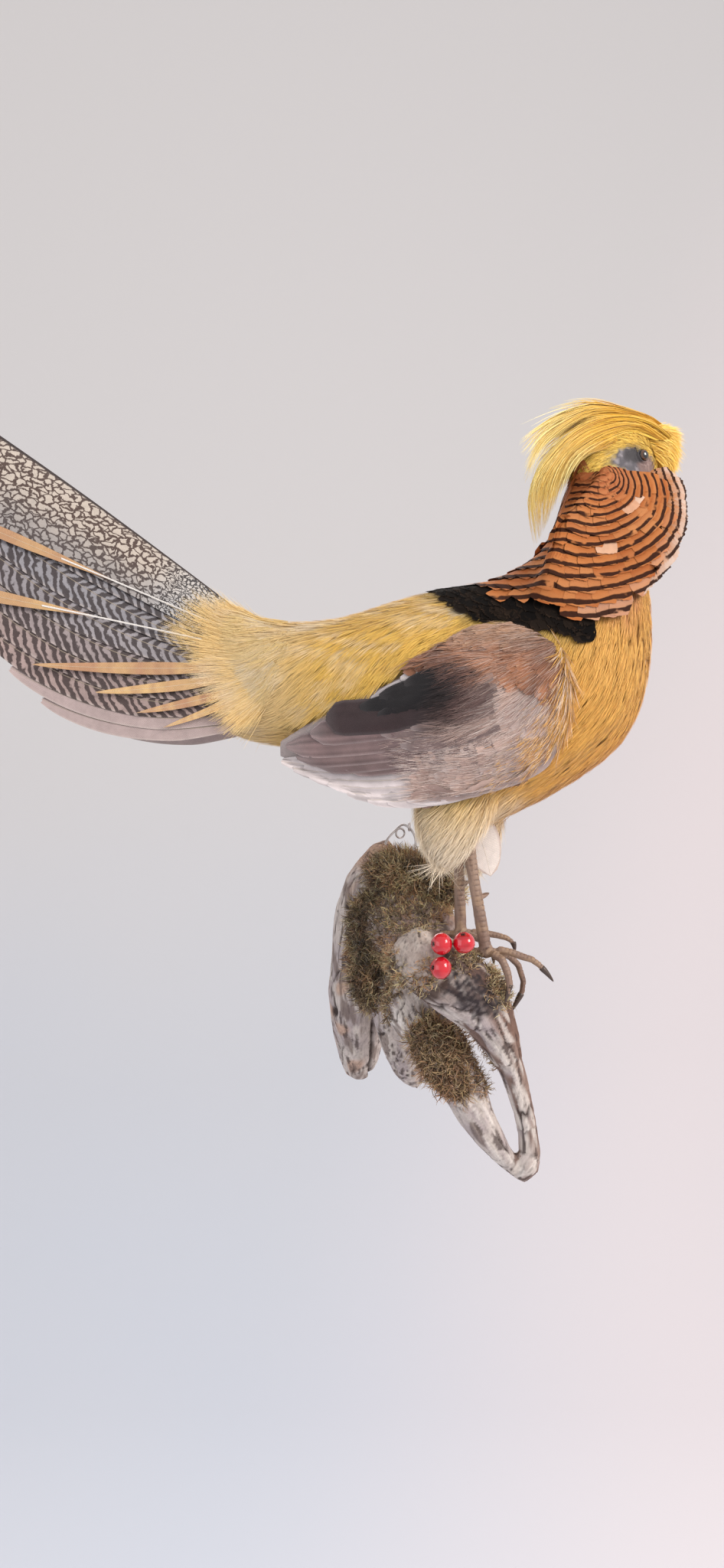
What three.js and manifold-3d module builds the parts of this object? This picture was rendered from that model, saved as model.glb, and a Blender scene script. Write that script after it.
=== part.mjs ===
// A life-size mounted golden pheasant cock of the yellow colour form, standing on a piece of driftwood that
// hangs on a wall. Millimetres, +Z up, +X the way the bird faces, +Y into the wall. The origin is on the flat
// back of the driftwood, where it meets the wall.
import * as THREE from "three";
import { mergeVertices } from "three/addons/utils/BufferGeometryUtils.js";
import Module from "manifold-3d";

const wasm = await Module();
wasm.setup();

// ---------- driving dimensions ----------
const birdPlane = -140; // y of the bird's own middle plane: it stands this far off the wall
const gap = 0.35; // clearance between neighbouring pieces
const headTurn = THREE.MathUtils.degToRad(24); // the head looks a little towards the wall
const turnAxisX = 150; // the upright line that the head turns on
const turnStartZ = 292; // the neck begins to turn here and has turned fully at turnFullZ
const turnFullZ = 345;
const eyeRadius = 4.6;
const eyePlace = { x: 172.6, out: 14.2, z: 358 };
const tailLength = 735; // from the tail's root to the tip of the middle pair
const tailThickness = 2;
const wingThickness = 9;
const wingSink = 4; // how far a wing's plate is let into the body's side
const ruffThickness = 6;
const berryRadius = 6.4;
const wireRadius = 1;
const farAway = 2000; // size of a block used as a half space
const growPasses = 12;

// ---------- materials ----------
const paint = (color, roughness, metalness = 0) =>
  new THREE.MeshStandardMaterial({ color, roughness, metalness });
const materials = {
  yellow: paint(0xe6b63c, 0.8),
  gold: paint(0xeec02e, 0.7),
  tawny: paint(0xc4793a, 0.8),
  wing: paint(0x8e786c, 0.8),
  tail: paint(0x948a80, 0.8),
  leg: paint(0x8a6a4c, 0.6),
  horn: paint(0xcfae74, 0.4),
  eye: paint(0x1c140e, 0.1),
  wood: paint(0xb9aca2, 0.9),
  moss: paint(0x6b6232, 1),
  berry: paint(0xc40c1c, 0.15),
  wire: paint(0x9c9a98, 0.35, 1),
};

// ---------- shape tools ----------
const vec = (...xyz) => new THREE.Vector3(...xyz);
const { clamp, lerp, smoothstep, degToRad } = THREE.MathUtils;

// A geometry's vertices and faces alone, with shared vertices merged.
function bare(geometry) {
  const copy = geometry.clone();
  copy.deleteAttribute("normal");
  copy.deleteAttribute("uv");
  return mergeVertices(copy, 1e-4);
}

// A closed geometry as a solid.
function solidOf(geometry) {
  const merged = bare(geometry);
  return new wasm.Manifold(
    new wasm.Mesh({
      numProp: 3,
      vertProperties: new Float32Array(merged.attributes.position.array),
      triVerts: new Uint32Array(merged.index.array),
    }),
  );
}

function geometryOf(solid) {
  const mesh = solid.getMesh();
  const geometry = new THREE.BufferGeometry();
  geometry.setAttribute("position", new THREE.BufferAttribute(mesh.vertProperties, 3));
  geometry.setIndex(new THREE.BufferAttribute(mesh.triVerts, 1));
  geometry.computeVertexNormals();
  return geometry;
}

// Moves every vertex of a geometry by a function of its place and its normal.
function reshape(geometry, move) {
  const place = geometry.attributes.position;
  const normal = geometry.attributes.normal;
  for (let i = 0; i < place.count; i++) {
    const out = normal ? vec(normal.getX(i), normal.getY(i), normal.getZ(i)) : null;
    const p = move(vec(place.getX(i), place.getY(i), place.getZ(i)), out);
    place.setXYZ(i, p.x, p.y, p.z);
  }
  return geometry;
}

// A copy whose faces are reversed.
function turnedInsideOut(geometry) {
  const copy = geometry.index ? geometry.toNonIndexed() : geometry.clone();
  const place = copy.attributes.position;
  for (let i = 0; i < place.count; i += 3) {
    const second = [place.getX(i + 1), place.getY(i + 1), place.getZ(i + 1)];
    place.setXYZ(i + 1, place.getX(i + 2), place.getY(i + 2), place.getZ(i + 2));
    place.setXYZ(i + 2, ...second);
  }
  return copy;
}
const facingOut = (geometry) => (solidOf(geometry).volume() > 0 ? geometry : turnedInsideOut(geometry));

// The other side's copy of a geometry, mirrored in the bird's middle plane.
const mirrored = (geometry) =>
  turnedInsideOut(reshape(geometry.clone(), (p) => p.setY(2 * birdPlane - p.y)));

// The geometry with every face moved out by at least the gap, for cutting a neighbour with clearance. Each
// vertex is pushed along the normals of its own faces in turn until all of them have moved far enough.
function grown(geometry) {
  const merged = bare(geometry);
  const place = merged.attributes.position;
  const index = merged.index;
  const facesAt = Array.from({ length: place.count }, () => []);
  for (let i = 0; i < index.count; i += 3) {
    const corners = [0, 1, 2].map((k) => index.getX(i + k));
    const [a, b, c] = corners.map((k) => vec().fromBufferAttribute(place, k));
    const normal = b.sub(a).cross(c.sub(a));
    if (normal.lengthSq() < 1e-12) continue;
    normal.normalize();
    corners.forEach((k) => facesAt[k].push(normal));
  }
  facesAt.forEach((normals, k) => {
    const shift = vec(0, 0, 0);
    for (let pass = 0; pass < growPasses; pass++) {
      for (const normal of normals) {
        shift.addScaledVector(normal, Math.max(0, gap - normal.dot(shift)));
      }
    }
    shift.clampLength(0, 3 * gap);
    place.setXYZ(k, place.getX(k) + shift.x, place.getY(k) + shift.y, place.getZ(k) + shift.z);
  });
  return merged;
}

// Values of evenly counted stations, read smoothly at t from 0 to 1.
function along(values, t) {
  const at = clamp(t, 0, 1) * (values.length - 1);
  const i = Math.min(Math.floor(at), values.length - 2);
  const v = (k) => values[clamp(k, 0, values.length - 1)];
  const f = at - i;
  return (
    0.5 *
    (2 * v(i) +
      (v(i + 1) - v(i - 1)) * f +
      (2 * v(i - 1) - 5 * v(i) + 4 * v(i + 1) - v(i + 2)) * f * f +
      (3 * v(i) - v(i - 1) - 3 * v(i + 1) + v(i + 2)) * f * f * f)
  );
}

// A closed form from a row of rings. ring(t) gives a ring's centre and its two half axes.
function lofted(sides, rings, ring) {
  return reshape(new THREE.SphereGeometry(1, sides, rings), (p) => {
    const t = Math.acos(clamp(p.y, -1, 1)) / Math.PI;
    const round = Math.atan2(p.z, p.x);
    const { centre, up, across } = ring(t);
    if (t < 1e-6 || t > 1 - 1e-6) return centre;
    return centre.addScaledVector(up, Math.sin(round)).addScaledVector(across, Math.cos(round));
  });
}

// A form in the bird's middle plane. A rib is [x, z at the back line, x, z at the belly line, half width].
function ribbed(ribs, sides, rings) {
  const columns = ribs[0].map((_, k) => ribs.map((rib) => rib[k]));
  const form = lofted(sides, rings, (t) => {
    const [backX, backZ, bellyX, bellyZ, wide] = columns.map((values) => along(values, t));
    return {
      centre: vec((backX + bellyX) / 2, birdPlane, (backZ + bellyZ) / 2),
      up: vec((backX - bellyX) / 2, 0, (backZ - bellyZ) / 2),
      across: vec(0, Math.max(wide, 0.2), 0),
    };
  });
  return facingOut(form);
}

// A form round a bent line. A station is [x, y, z, half size in the line's upright plane, half size across].
function swept(stations, sides, rings) {
  const columns = stations[0].map((_, k) => stations.map((station) => station[k]));
  const centre = (t) => vec(...columns.slice(0, 3).map((values) => along(values, t)));
  const step = 0.25 / (stations.length - 1);
  const form = lofted(sides, rings, (t) => {
    const ahead = centre(Math.min(t + step, 1)).sub(centre(Math.max(t - step, 0))).normalize();
    const across = vec(0, 1, 0).addScaledVector(ahead, -ahead.y);
    if (across.lengthSq() < 0.05) across.set(1, 0, 0).addScaledVector(ahead, -ahead.x);
    across.normalize();
    const up = ahead.clone().cross(across).normalize();
    return {
      centre: centre(t),
      up: up.multiplyScalar(Math.max(along(columns[3], t), 0.15)),
      across: across.multiplyScalar(Math.max(along(columns[4], t), 0.15)),
    };
  });
  return facingOut(form);
}

// A thin closed plate: a box split into cells, whose two faces a function places. It gets a and b from 0 to 1
// and the face's side, 1 or -1.
function plate(cellsA, cellsB, place) {
  const form = reshape(new THREE.BoxGeometry(1, 1, 1, cellsA, cellsB, 1), (p) =>
    place(p.x + 0.5, p.y + 0.5, Math.sign(p.z)),
  );
  return facingOut(form);
}

// Everything on one side of a plane, less half the gap.
function halfSpace(point, normal) {
  const block = new THREE.BoxGeometry(farAway, farAway, farAway);
  block.translate(0, 0, farAway / 2 + gap / 2);
  block.applyQuaternion(new THREE.Quaternion().setFromUnitVectors(vec(0, 0, 1), normal.clone().normalize()));
  block.translate(point.x, point.y, point.z);
  return solidOf(block);
}

// The largest body of a solid, so that a crumb left by a cut is dropped.
const largest = (solid) => solid.decompose().reduce((a, b) => (b.volume() > a.volume() ? b : a));

// Turns what lies above the shoulders towards the wall, smoothly up the neck.
function turnHead(p) {
  const angle = headTurn * smoothstep(p.z, turnStartZ, turnFullZ);
  const dx = p.x - turnAxisX;
  const dy = p.y - birdPlane;
  return vec(
    turnAxisX + dx * Math.cos(angle) - dy * Math.sin(angle),
    birdPlane + dx * Math.sin(angle) + dy * Math.cos(angle),
    p.z,
  );
}

// A weathered surface: low waves of one height and length, the same each time.
function weathered(geometry, height, length) {
  const k = (2 * Math.PI) / length;
  const merged = bare(geometry);
  merged.computeVertexNormals();
  return reshape(merged, (p, out) => {
    const wave =
      Math.sin(k * p.x + 1.3 * Math.sin(k * 0.7 * p.z)) * Math.sin(k * 0.8 * p.y + 2) +
      0.6 * Math.sin(k * 1.7 * p.z + k * 0.9 * p.x + 1);
    return p.addScaledVector(out, height * wave);
  });
}

// ---------- body, from the root of the tail to the crown ----------
const ribs = [
  [-130, 240, -128, 212, 1],
  [-116, 251, -112, 186, 19],
  [-96, 258, -92, 171, 27],
  [-79, 249, -74, 166, 34],
  [-58, 246.5, -50, 163, 41],
  [-27, 249, -22, 156, 48],
  [3, 258, 6, 145, 55],
  [32, 267, 30, 128, 60],
  [60, 271, 61, 114, 62],
  [81, 276, 92, 119, 62],
  [96, 284, 124, 136, 60],
  [105, 291, 150, 153, 56],
  [112, 298.5, 168, 172, 50],
  [116.5, 306, 178.5, 200, 44],
  [120, 315, 182.5, 234, 38],
  [123.5, 324, 181, 266, 32],
  [127, 334, 178, 298, 26],
  [129, 343, 182, 326, 21],
  [129.5, 352, 191, 341, 18.5],
  [131, 363, 194, 351, 17.5],
  [138, 375, 190, 366, 16],
  [151, 383.5, 179, 379.5, 10],
  [164, 386, 167, 386, 1],
];
const bodyForm = reshape(ribbed(ribs, 16, 30), turnHead);

// How far the body's side stands from the middle plane at a place on it. Past a share of its height up or
// down, it is read as if the body curved in no further.
const flankShare = 0.6;
function flankAt(x, z) {
  const middles = ribs.map((rib) => (rib[0] + rib[2]) / 2);
  const after = middles.findIndex((middle) => middle > x);
  const share = (x - middles[after - 1]) / (middles[after] - middles[after - 1]);
  const [, back, , belly, wide] = ribs[after].map((value, k) => lerp(ribs[after - 1][k], value, share));
  const off = clamp((2 * z - back - belly) / (back - belly), -flankShare, flankShare);
  return wide * Math.sqrt(1 - off * off);
}

// ---------- wings ----------
// Outline from shoulder to tip: x, and z of the lower and upper edges.
const wingStations = [
  [115, 178, 204],
  [109, 163, 224],
  [94, 148, 236],
  [70, 138, 239],
  [46, 133, 228],
  [22, 129, 213],
  [-2, 130, 199],
  [-26, 138, 189],
  [-48, 148, 178],
  [-64, 156, 168],
];
const wingColumns = [0, 1, 2].map((k) => wingStations.map((station) => station[k]));
const wingForm = plate(8, 4, (a, b, side) => {
  const [x, low, high] = wingColumns.map((values) => along(values, a));
  const z = lerp(low, high, b);
  const thin = Math.sqrt(Math.max(0.16, (1 - (2 * b - 1) ** 4) * (1 - (2 * a - 1) ** 6)));
  const out = side > 0 ? -wingSink : (wingThickness - wingSink) * thin;
  return vec(x, birdPlane - flankAt(x, z) - out, z);
});

// ---------- cape ----------
// Each side of the cape is a fan about a point under the ear. Its reach at even steps of its sweep.
const ruffCentre = { x: 148, z: 338 };
const ruffReach = [28, 38, 45, 52, 61, 71, 83, 92, 95, 90, 56, 31, 22, 19, 18];
const ruffFrom = degToRad(-16);
const ruffTo = degToRad(200);
const ruffForm = plate(4, 14, (a, b, side) => {
  const reach = a * along(ruffReach, b);
  const sweep = lerp(ruffFrom, ruffTo, b);
  const rim = Math.sqrt(Math.max(0.12, 1 - (2 * a - 1) ** 4));
  const out = 22.5 + reach * lerp(0.16, 0.34, smoothstep(b, 0.05, 0.45)) + (side * ruffThickness * rim) / 2;
  return vec(ruffCentre.x + reach * Math.cos(sweep), birdPlane - out, ruffCentre.z - reach * Math.sin(sweep));
});

// ---------- crest ----------
// Forehead, crown, then hanging free behind the nape.
const crestStations = [
  [208, 367, 0, 0],
  [205, 367.5, 12, 10],
  [190, 370.5, 12.5, 15],
  [172, 373.5, 12, 17.5],
  [152, 375.5, 14.5, 18.5],
  [132, 370, 19.5, 18],
  [115, 355.5, 19, 16],
  [104, 337, 14, 13],
  [101, 318, 9.5, 9],
  [103, 301, 4, 4],
  [105, 293, 1, 1],
];
const crestForm = reshape(
  swept(
    crestStations.map(([x, z, high, wide]) => [x, birdPlane, z, high, wide]),
    12,
    14,
  ),
  turnHead,
);

// ---------- tail ----------
// It is roofed: each half slopes down and out from the ridge. A place on it is (b, distance): b is 0 at the
// ridge and 1 at the lower edge, and distance is from the root.
const tailRoot = vec(-45, birdPlane, 219);
const featherLengths = [tailLength, 560, 450, 370, 310, 265, 232, 200, 168];
const ridgeAngle = 37.6; // degrees above the level at the root, and what droops off it by the tip
const ridgeDroop = 9;
const lowerAngle = { near: -44, far: -1, nearAt: 68, span: 138 }; // the lower feathers curve up
const roof = { width: 52, length: 75 };
function tailAngle(b, distance) {
  const ridge = ridgeAngle - ridgeDroop * (distance / tailLength) ** 2;
  const curl = clamp((distance - lowerAngle.nearAt) / lowerAngle.span, 0, 1) ** 0.8;
  const beyond = 0.03 * Math.max(0, distance - lowerAngle.nearAt - lowerAngle.span);
  const lower = lerp(lowerAngle.near, lowerAngle.far, curl) + beyond;
  return degToRad(lerp(ridge, lower, b));
}
const roofOut = (down) => roof.width * (1 - Math.exp(-down / roof.length));
const sideFrom = 0.125; // the share of the fan that lies under the middle pair
const sideUnder = 5; // how far the side feathers lie inside the middle pair
const tailSideForm = plate(6, 8, (a, b, side) => {
  const share = lerp(sideFrom, 1, b);
  const distance = lerp(40, along(featherLengths, share), a ** 1.15);
  const aim = tailAngle(share, distance);
  const down = distance * Math.sin(tailAngle(0, distance) - aim);
  const out = roofOut(down) + 3 - sideUnder + (side * tailThickness) / 2;
  return vec(tailRoot.x - distance * Math.cos(aim), birdPlane - out, tailRoot.z + distance * Math.sin(aim));
});
const middleWidth = 30; // half the width of the middle pair, measured down its slope
const tailMiddleForm = plate(10, 4, (a, b, side) => {
  const distance = lerp(40, tailLength, a);
  const aim = tailAngle(0, distance);
  const taper = Math.max(0.04, 1 - Math.max(0, (distance - 330) / (tailLength - 330)) ** 2.2);
  const down = Math.abs(2 * b - 1) * middleWidth * smoothstep(distance, -60, 130) * taper;
  const lift = 3 + (side * tailThickness) / 2;
  const lean = Math.sign(2 * b - 1) * Math.min(1, down / 9);
  return vec(
    tailRoot.x - distance * Math.cos(aim) - (down - lift * 0.72) * Math.sin(aim),
    birdPlane - lean * (roofOut(down) + lift * 0.66),
    tailRoot.z + distance * Math.sin(aim) - (down - lift * 0.72) * Math.cos(aim),
  );
});

// ---------- legs ----------
// The bird's right leg is the one nearer the room. A toe is a row of [x, y, z, radius].
const legs = {
  right: {
    thigh: [
      [54, -168, 172, 6, 6],
      [52, -170, 156, 27, 20],
      [50, -170, 138, 27, 19],
      [48, -168, 120, 23, 16],
      [45, -166, 104, 17, 12],
      [45, -165, 92, 9, 7],
      [46, -165, 86, 1, 1],
    ],
    hock: [57.5, -162, 107],
    foot: [70, -165, 31],
    toes: [
      [
        [72, -166, 32, 3.8],
        [82, -167, 32.5, 3.3],
        [92, -168, 29, 3],
        [100, -169, 26.5, 2.6],
        [106, -170, 21, 2.1],
        [112.5, -170, 14.5, 0.6],
      ],
      [
        [71, -168, 31, 3.8],
        [78, -175, 29, 3.4],
        [82, -179, 20, 3],
        [83, -181, 12, 2.6],
        [81, -180, 3, 0.6],
      ],
      [
        [71, -162, 31, 3.6],
        [82, -154, 29, 3.1],
        [92, -150, 22, 2.7],
        [96.5, -149, 8, 2.4],
        [94, -149, 0, 1.9],
        [88.5, -149, -10, 0.6],
      ],
      [
        [68, -163, 31, 3.2],
        [58, -160, 32, 2.6],
        [52, -158, 31, 2],
        [47, -157, 28, 0.6],
      ],
    ],
  },
  left: {
    thigh: [
      [60, -112, 172, 6, 6],
      [61, -110, 156, 26, 20],
      [63, -112, 138, 25, 18],
      [66, -113, 120, 22, 15],
      [69, -114, 103, 17, 11],
      [70, -115, 89, 11, 6],
      [70, -115, 81, 1, 1],
    ],
    hock: [55.5, -117, 110],
    foot: [58, -117, 36],
    toes: [
      [
        [60, -117, 37, 3.8],
        [70, -117, 37.5, 3.3],
        [81, -117, 36, 2.8],
        [90, -117, 33.5, 2.3],
        [94, -117, 30, 1.8],
        [95.5, -117, 25.5, 0.6],
      ],
      [
        [59, -119, 37, 3.6],
        [67, -126, 35.5, 3.2],
        [74, -131, 32, 2.7],
        [78, -133, 26, 2],
        [79, -134, 20, 0.6],
      ],
      [
        [59, -114, 37, 3.6],
        [66, -106, 36, 3],
        [73, -101, 33, 2.4],
        [77, -99, 27, 1.8],
        [78, -98, 21, 0.6],
      ],
      [
        [56, -116, 36, 3.2],
        [47, -113, 36.5, 2.6],
        [41, -111, 35.5, 2],
        [36, -110, 33, 0.6],
      ],
    ],
  },
};

// The bare shank from hock to foot, and its spur.
function tarsusForms({ hock, foot }) {
  const mix = (f) => hock.map((value, k) => lerp(value, foot[k], f));
  const shaft = [
    [-0.05, 2, 2],
    [0.02, 5.6, 4.6],
    [0.2, 4.2, 3.5],
    [0.5, 3.9, 3.3],
    [0.8, 4.2, 3.6],
    [0.96, 4.4, 4.2],
    [0.985, 2, 2],
  ].map(([f, high, wide]) => [...mix(f), high, wide]);
  const [x, y, z] = mix(0.52);
  const spur = [
    [x, y, z, 2, 2],
    [x + 3, y + 2, z - 1, 2.4, 2.4],
    [x + 7, y + 4, z + 0.5, 1.7, 1.7],
    [x + 9.5, y + 5, z + 2, 0.3, 0.3],
  ];
  return [swept(shaft, 8, 7), swept(spur, 6, 4)];
}

function footForms({ foot, toes }) {
  const [x, y, z] = foot;
  const pad = new THREE.SphereGeometry(1, 8, 6).scale(6.4, 6, 4.6).translate(x, y, z + 0.6);
  const toeForm = (toe) =>
    swept(
      toe.map(([tx, ty, tz, radius]) => [tx, ty, tz, radius * 0.9, radius]),
      6,
      7,
    );
  return [pad, ...toes.map(toeForm)];
}

// ---------- bill and eyes ----------
const billForm = (stations, sides, rings) =>
  reshape(
    swept(
      stations.map(([x, z, high, wide]) => [x, birdPlane, z, high, wide]),
      sides,
      rings,
    ),
    turnHead,
  );
const billUpperForm = billForm(
  [
    [180, 358.5, 3, 4],
    [187, 358.4, 5.2, 4.8],
    [193, 357.8, 4.6, 4.2],
    [199, 356.4, 3.6, 3.2],
    [204, 353.8, 2.3, 2.2],
    [207, 349.6, 0.4, 0.4],
  ],
  10,
  9,
);
const billLowerForm = billForm(
  [
    [180, 351.2, 2, 3],
    [187, 351, 3, 4.2],
    [193, 350.8, 2.5, 3.5],
    [199, 350.4, 1.8, 2.5],
    [203.5, 350, 0.3, 0.5],
  ],
  10,
  7,
);
function eyeForm(side) {
  const centre = turnHead(vec(eyePlace.x, birdPlane + side * eyePlace.out, eyePlace.z));
  return new THREE.SphereGeometry(eyeRadius, 10, 6).translate(centre.x, centre.y, centre.z);
}

// ---------- driftwood ----------
// The upright piece against the wall.
const slabForm = weathered(
  swept(
    [
      [10, -17, 97, 3, 3],
      [8, -18, 88, 13, 14],
      [3, -20, 70, 21, 22],
      [-4, -21, 50, 25, 26],
      [-7, -21, 24, 26, 27],
      [-9, -20, -3, 26, 28],
      [-13, -18, -26, 25, 28],
      [-12, -17, -46, 22, 25],
      [-12, -15, -66, 18, 20],
      [-13, -14, -84, 11, 15],
      [-14, -13, -91, 3, 4],
    ],
    10,
    12,
  ),
  0.8,
  46,
);
// The thick limb that stands out from it to carry the bird, and the stump under that.
const coreForm = weathered(
  swept(
    [
      [10, -8, 40, 20, 20],
      [14, -20, 42, 36, 28],
      [20, -48, 44, 36, 33],
      [28, -78, 32, 33, 32],
      [38, -106, 15, 25, 27],
      [44, -130, 8, 22, 23],
      [48, -150, 6, 4, 4],
    ],
    12,
    9,
  ),
  1.1,
  42,
);
const stumpForm = weathered(
  swept(
    [
      [14, -42, 16, 6, 6],
      [16, -54, 0, 24, 22],
      [18, -64, -28, 22, 20],
      [22, -72, -54, 17, 16],
      [27, -76, -70, 12, 12],
      [29, -78, -79, 2, 2],
    ],
    10,
    8,
  ),
  0.9,
  38,
);
// The knob at the limb's end, facing the room, and the branch that runs down from it.
const limbForm = weathered(
  swept(
    [
      [9, -176, 34, 3, 3],
      [16, -174, 31, 17, 16],
      [30, -172, 27, 22, 21],
      [46, -168, 14, 22, 21],
      [62, -163, 2, 22, 19],
      [75, -158, -17, 16, 16],
      [85, -152, -40, 10.5, 12],
      [93, -150, -63, 7.8, 8.5],
      [99, -149, -86, 6.4, 7.5],
      [100.5, -149, -103, 7.5, 7.5],
      [96, -149, -115, 8, 7.5],
      [89, -149, -119, 2, 2],
    ],
    10,
    16,
  ),
  0.8,
  34,
);
// The lower branch, which meets the other one again at the bottom.
const forkForm = weathered(
  swept(
    [
      [20, -96, 4, 5, 5],
      [24, -110, -8, 21, 22],
      [34, -126, -26, 20, 20],
      [46, -138, -46, 18, 16],
      [58, -144, -64, 15, 13],
      [70, -147, -86, 11, 10],
      [81, -149, -103, 8, 8],
      [92, -149, -115, 5, 6],
      [96, -149, -117, 2, 2],
    ],
    10,
    12,
  ),
  0.8,
  34,
);

// ---------- moss, berries, wire ----------
const mossForms = {
  moss_crown: [
    [-2, -50, 66, 4, 4],
    [5, -52, 71, 16, 24],
    [24, -62, 73, 16, 30],
    [44, -78, 67, 15, 26],
    [62, -88, 54, 4, 4],
  ],
  moss_side: [
    [-4, -62, 62, 3, 3],
    [-1, -62, 48, 17, 18],
    [-2, -62, 24, 17, 20],
    [-2, -60, -2, 16, 18],
    [4, -62, -22, 13, 14],
    [8, -64, -32, 3, 3],
  ],
  moss_fork: [
    [28, -130, -10, 3, 3],
    [33, -136, -24, 15, 14],
    [42, -144, -42, 16, 13],
    [54, -150, -60, 12, 11],
    [61, -152, -71, 3, 3],
  ],
};
const berryPlaces = [
  [39, -197, 41],
  [53, -195, 41.5],
  [38.5, -199, 26.5],
];
const wirePath = [
  vec(6, -26, 84),
  vec(9, -24, 96),
  vec(16, -20, 104),
  vec(22, -18, 108),
  vec(28, -22, 104),
  vec(31, -30, 96),
  vec(28, -42, 84),
];

// ---------- cutting and naming ----------
const group = new THREE.Group();
function keep(name, solid, material) {
  const mesh = new THREE.Mesh(geometryOf(largest(solid)), materials[material]);
  mesh.name = name;
  group.add(mesh);
  return mesh.geometry;
}
const less = (solid, ...forms) => forms.reduce((rest, form) => rest.subtract(solidOf(grown(form))), solid);
const sideNames = ["right", "left"];
const bothSides = (form) => ({ right: form, left: mirrored(form) });

const wings = bothSides(wingForm);
const ruffBase = bothSides(ruffForm);
const ruffs = { right: reshape(ruffBase.right, turnHead), left: reshape(ruffBase.left, turnHead) };
const tailSides = bothSides(tailSideForm);
const eyes = { right: eyeForm(-1), left: eyeForm(1) };

// Legs keep their full shape, and the wood is cut to them.
const joined = (forms) => forms.map(solidOf).reduce((whole, solid) => whole.add(solid));
const legForms = [];
for (const side of sideNames) {
  const foot = footForms(legs[side]);
  const tarsus = tarsusForms(legs[side]);
  keep("foot_" + side, joined(foot), "leg");
  keep("tarsus_" + side, less(joined(tarsus), ...foot), "leg");
  legForms.push(...foot, ...tarsus);
}

// Wings, cape and eyes are let into the body, which is then parted at the shoulders, throat and rump.
for (const side of sideNames) {
  keep("eye_" + side, solidOf(eyes[side]), "eye");
  keep("wing_" + side, solidOf(wings[side]), "wing");
  keep("ruff_" + side, less(solidOf(ruffs[side]), wings[side]), "tawny");
}
const letIn = [...Object.values(wings), ...Object.values(ruffs), ...Object.values(eyes), ...legForms];
const body = less(solidOf(bodyForm), ...letIn);
const cuts = {
  shoulder: { at: vec(126, birdPlane, 266), aim: vec(0.35, 0, 1) },
  throat: { at: vec(150, birdPlane, 337), aim: vec(0.1, 0, 1) },
  rump: { at: vec(-30, birdPlane, 200), aim: vec(-1, 0, 0) },
};
const past = ({ at, aim }) => halfSpace(at, aim);
const before = ({ at, aim }) => halfSpace(at, aim.clone().negate());
keep("head", body.intersect(past(cuts.throat)), "yellow");
keep("neck", body.intersect(before(cuts.throat)).intersect(past(cuts.shoulder)), "tawny");
const torso = body.intersect(before(cuts.shoulder));
keep("trunk", torso.intersect(before(cuts.rump)), "yellow");
keep("rump", torso.intersect(past(cuts.rump)), "yellow");
const capes = Object.values(ruffs);
keep("bill_upper", less(solidOf(billUpperForm), bodyForm, ...capes), "horn");
keep("bill_lower", less(solidOf(billLowerForm), bodyForm, billUpperForm, ...capes), "horn");
keep("crest", less(solidOf(crestForm), bodyForm, billUpperForm, billLowerForm, ...capes), "gold");
for (const side of sideNames) {
  const thigh = solidOf(swept(legs[side].thigh, 10, 8));
  keep("thigh_" + side, less(thigh, ...legForms, bodyForm, wings[side]), "yellow");
}
keep("tail_middle", less(solidOf(tailMiddleForm), bodyForm), "tail");
for (const side of sideNames) {
  keep("tail_" + side, less(solidOf(tailSides[side]), bodyForm, tailMiddleForm), "tail");
}

// Driftwood: each piece is cut by those before it, and the wall takes off the back.
const wall = halfSpace(vec(0, -gap / 2, 0), vec(0, 1, 0));
keep("wood_slab", solidOf(slabForm).subtract(wall), "wood");
const coreWhole = solidOf(coreForm).add(solidOf(stumpForm)).subtract(wall);
keep("wood_core", less(coreWhole, slabForm, ...legForms), "wood");
keep("wood_limb", less(solidOf(limbForm), coreForm, stumpForm, ...legForms), "wood");
keep("wood_fork", less(solidOf(forkForm), coreForm, stumpForm, limbForm, ...legForms), "wood");
const wood = [slabForm, coreForm, stumpForm, limbForm, forkForm];
const mosses = Object.entries(mossForms).map(([name, stations]) => {
  const pad = weathered(swept(stations, 9, 7), 1.2, 23);
  keep(name, less(solidOf(pad), ...wood, ...legForms), "moss");
  return pad;
});
berryPlaces.forEach(([x, y, z], i) => {
  const berry = new THREE.SphereGeometry(berryRadius, 10, 6).translate(x, y, z);
  keep("berry_" + (i + 1), less(solidOf(berry), limbForm), "berry");
});
const wireSection = new THREE.Shape().absarc(0, 0, wireRadius, 0, 2 * Math.PI);
const wire = new THREE.ExtrudeGeometry(wireSection, {
  steps: 12,
  curveSegments: 3,
  bevelEnabled: false,
  extrudePath: new THREE.CatmullRomCurve3(wirePath),
});
keep("hanger", less(solidOf(facingOut(wire)), ...wood, ...mosses), "wire");

export default group;
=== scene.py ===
import math

import bpy
import numpy as np
from mathutils.bvhtree import BVHTree
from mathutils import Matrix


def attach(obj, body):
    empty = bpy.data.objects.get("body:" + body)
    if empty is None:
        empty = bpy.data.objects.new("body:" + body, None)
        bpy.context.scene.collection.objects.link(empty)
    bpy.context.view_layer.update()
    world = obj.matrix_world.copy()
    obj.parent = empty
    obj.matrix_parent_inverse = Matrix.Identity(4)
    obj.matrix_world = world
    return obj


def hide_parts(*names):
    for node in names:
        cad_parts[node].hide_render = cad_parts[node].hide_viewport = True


# Lengths are in mm up to the point where a mesh is made. +X is the way the bird faces, +Y is into the wall.
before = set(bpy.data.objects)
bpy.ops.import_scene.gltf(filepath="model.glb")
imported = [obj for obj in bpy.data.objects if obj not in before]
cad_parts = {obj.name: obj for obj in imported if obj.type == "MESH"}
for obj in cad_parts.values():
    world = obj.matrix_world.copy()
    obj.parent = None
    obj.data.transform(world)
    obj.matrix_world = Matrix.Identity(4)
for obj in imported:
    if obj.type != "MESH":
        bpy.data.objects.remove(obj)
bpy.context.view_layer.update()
dice = np.random.default_rng(23)
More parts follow.
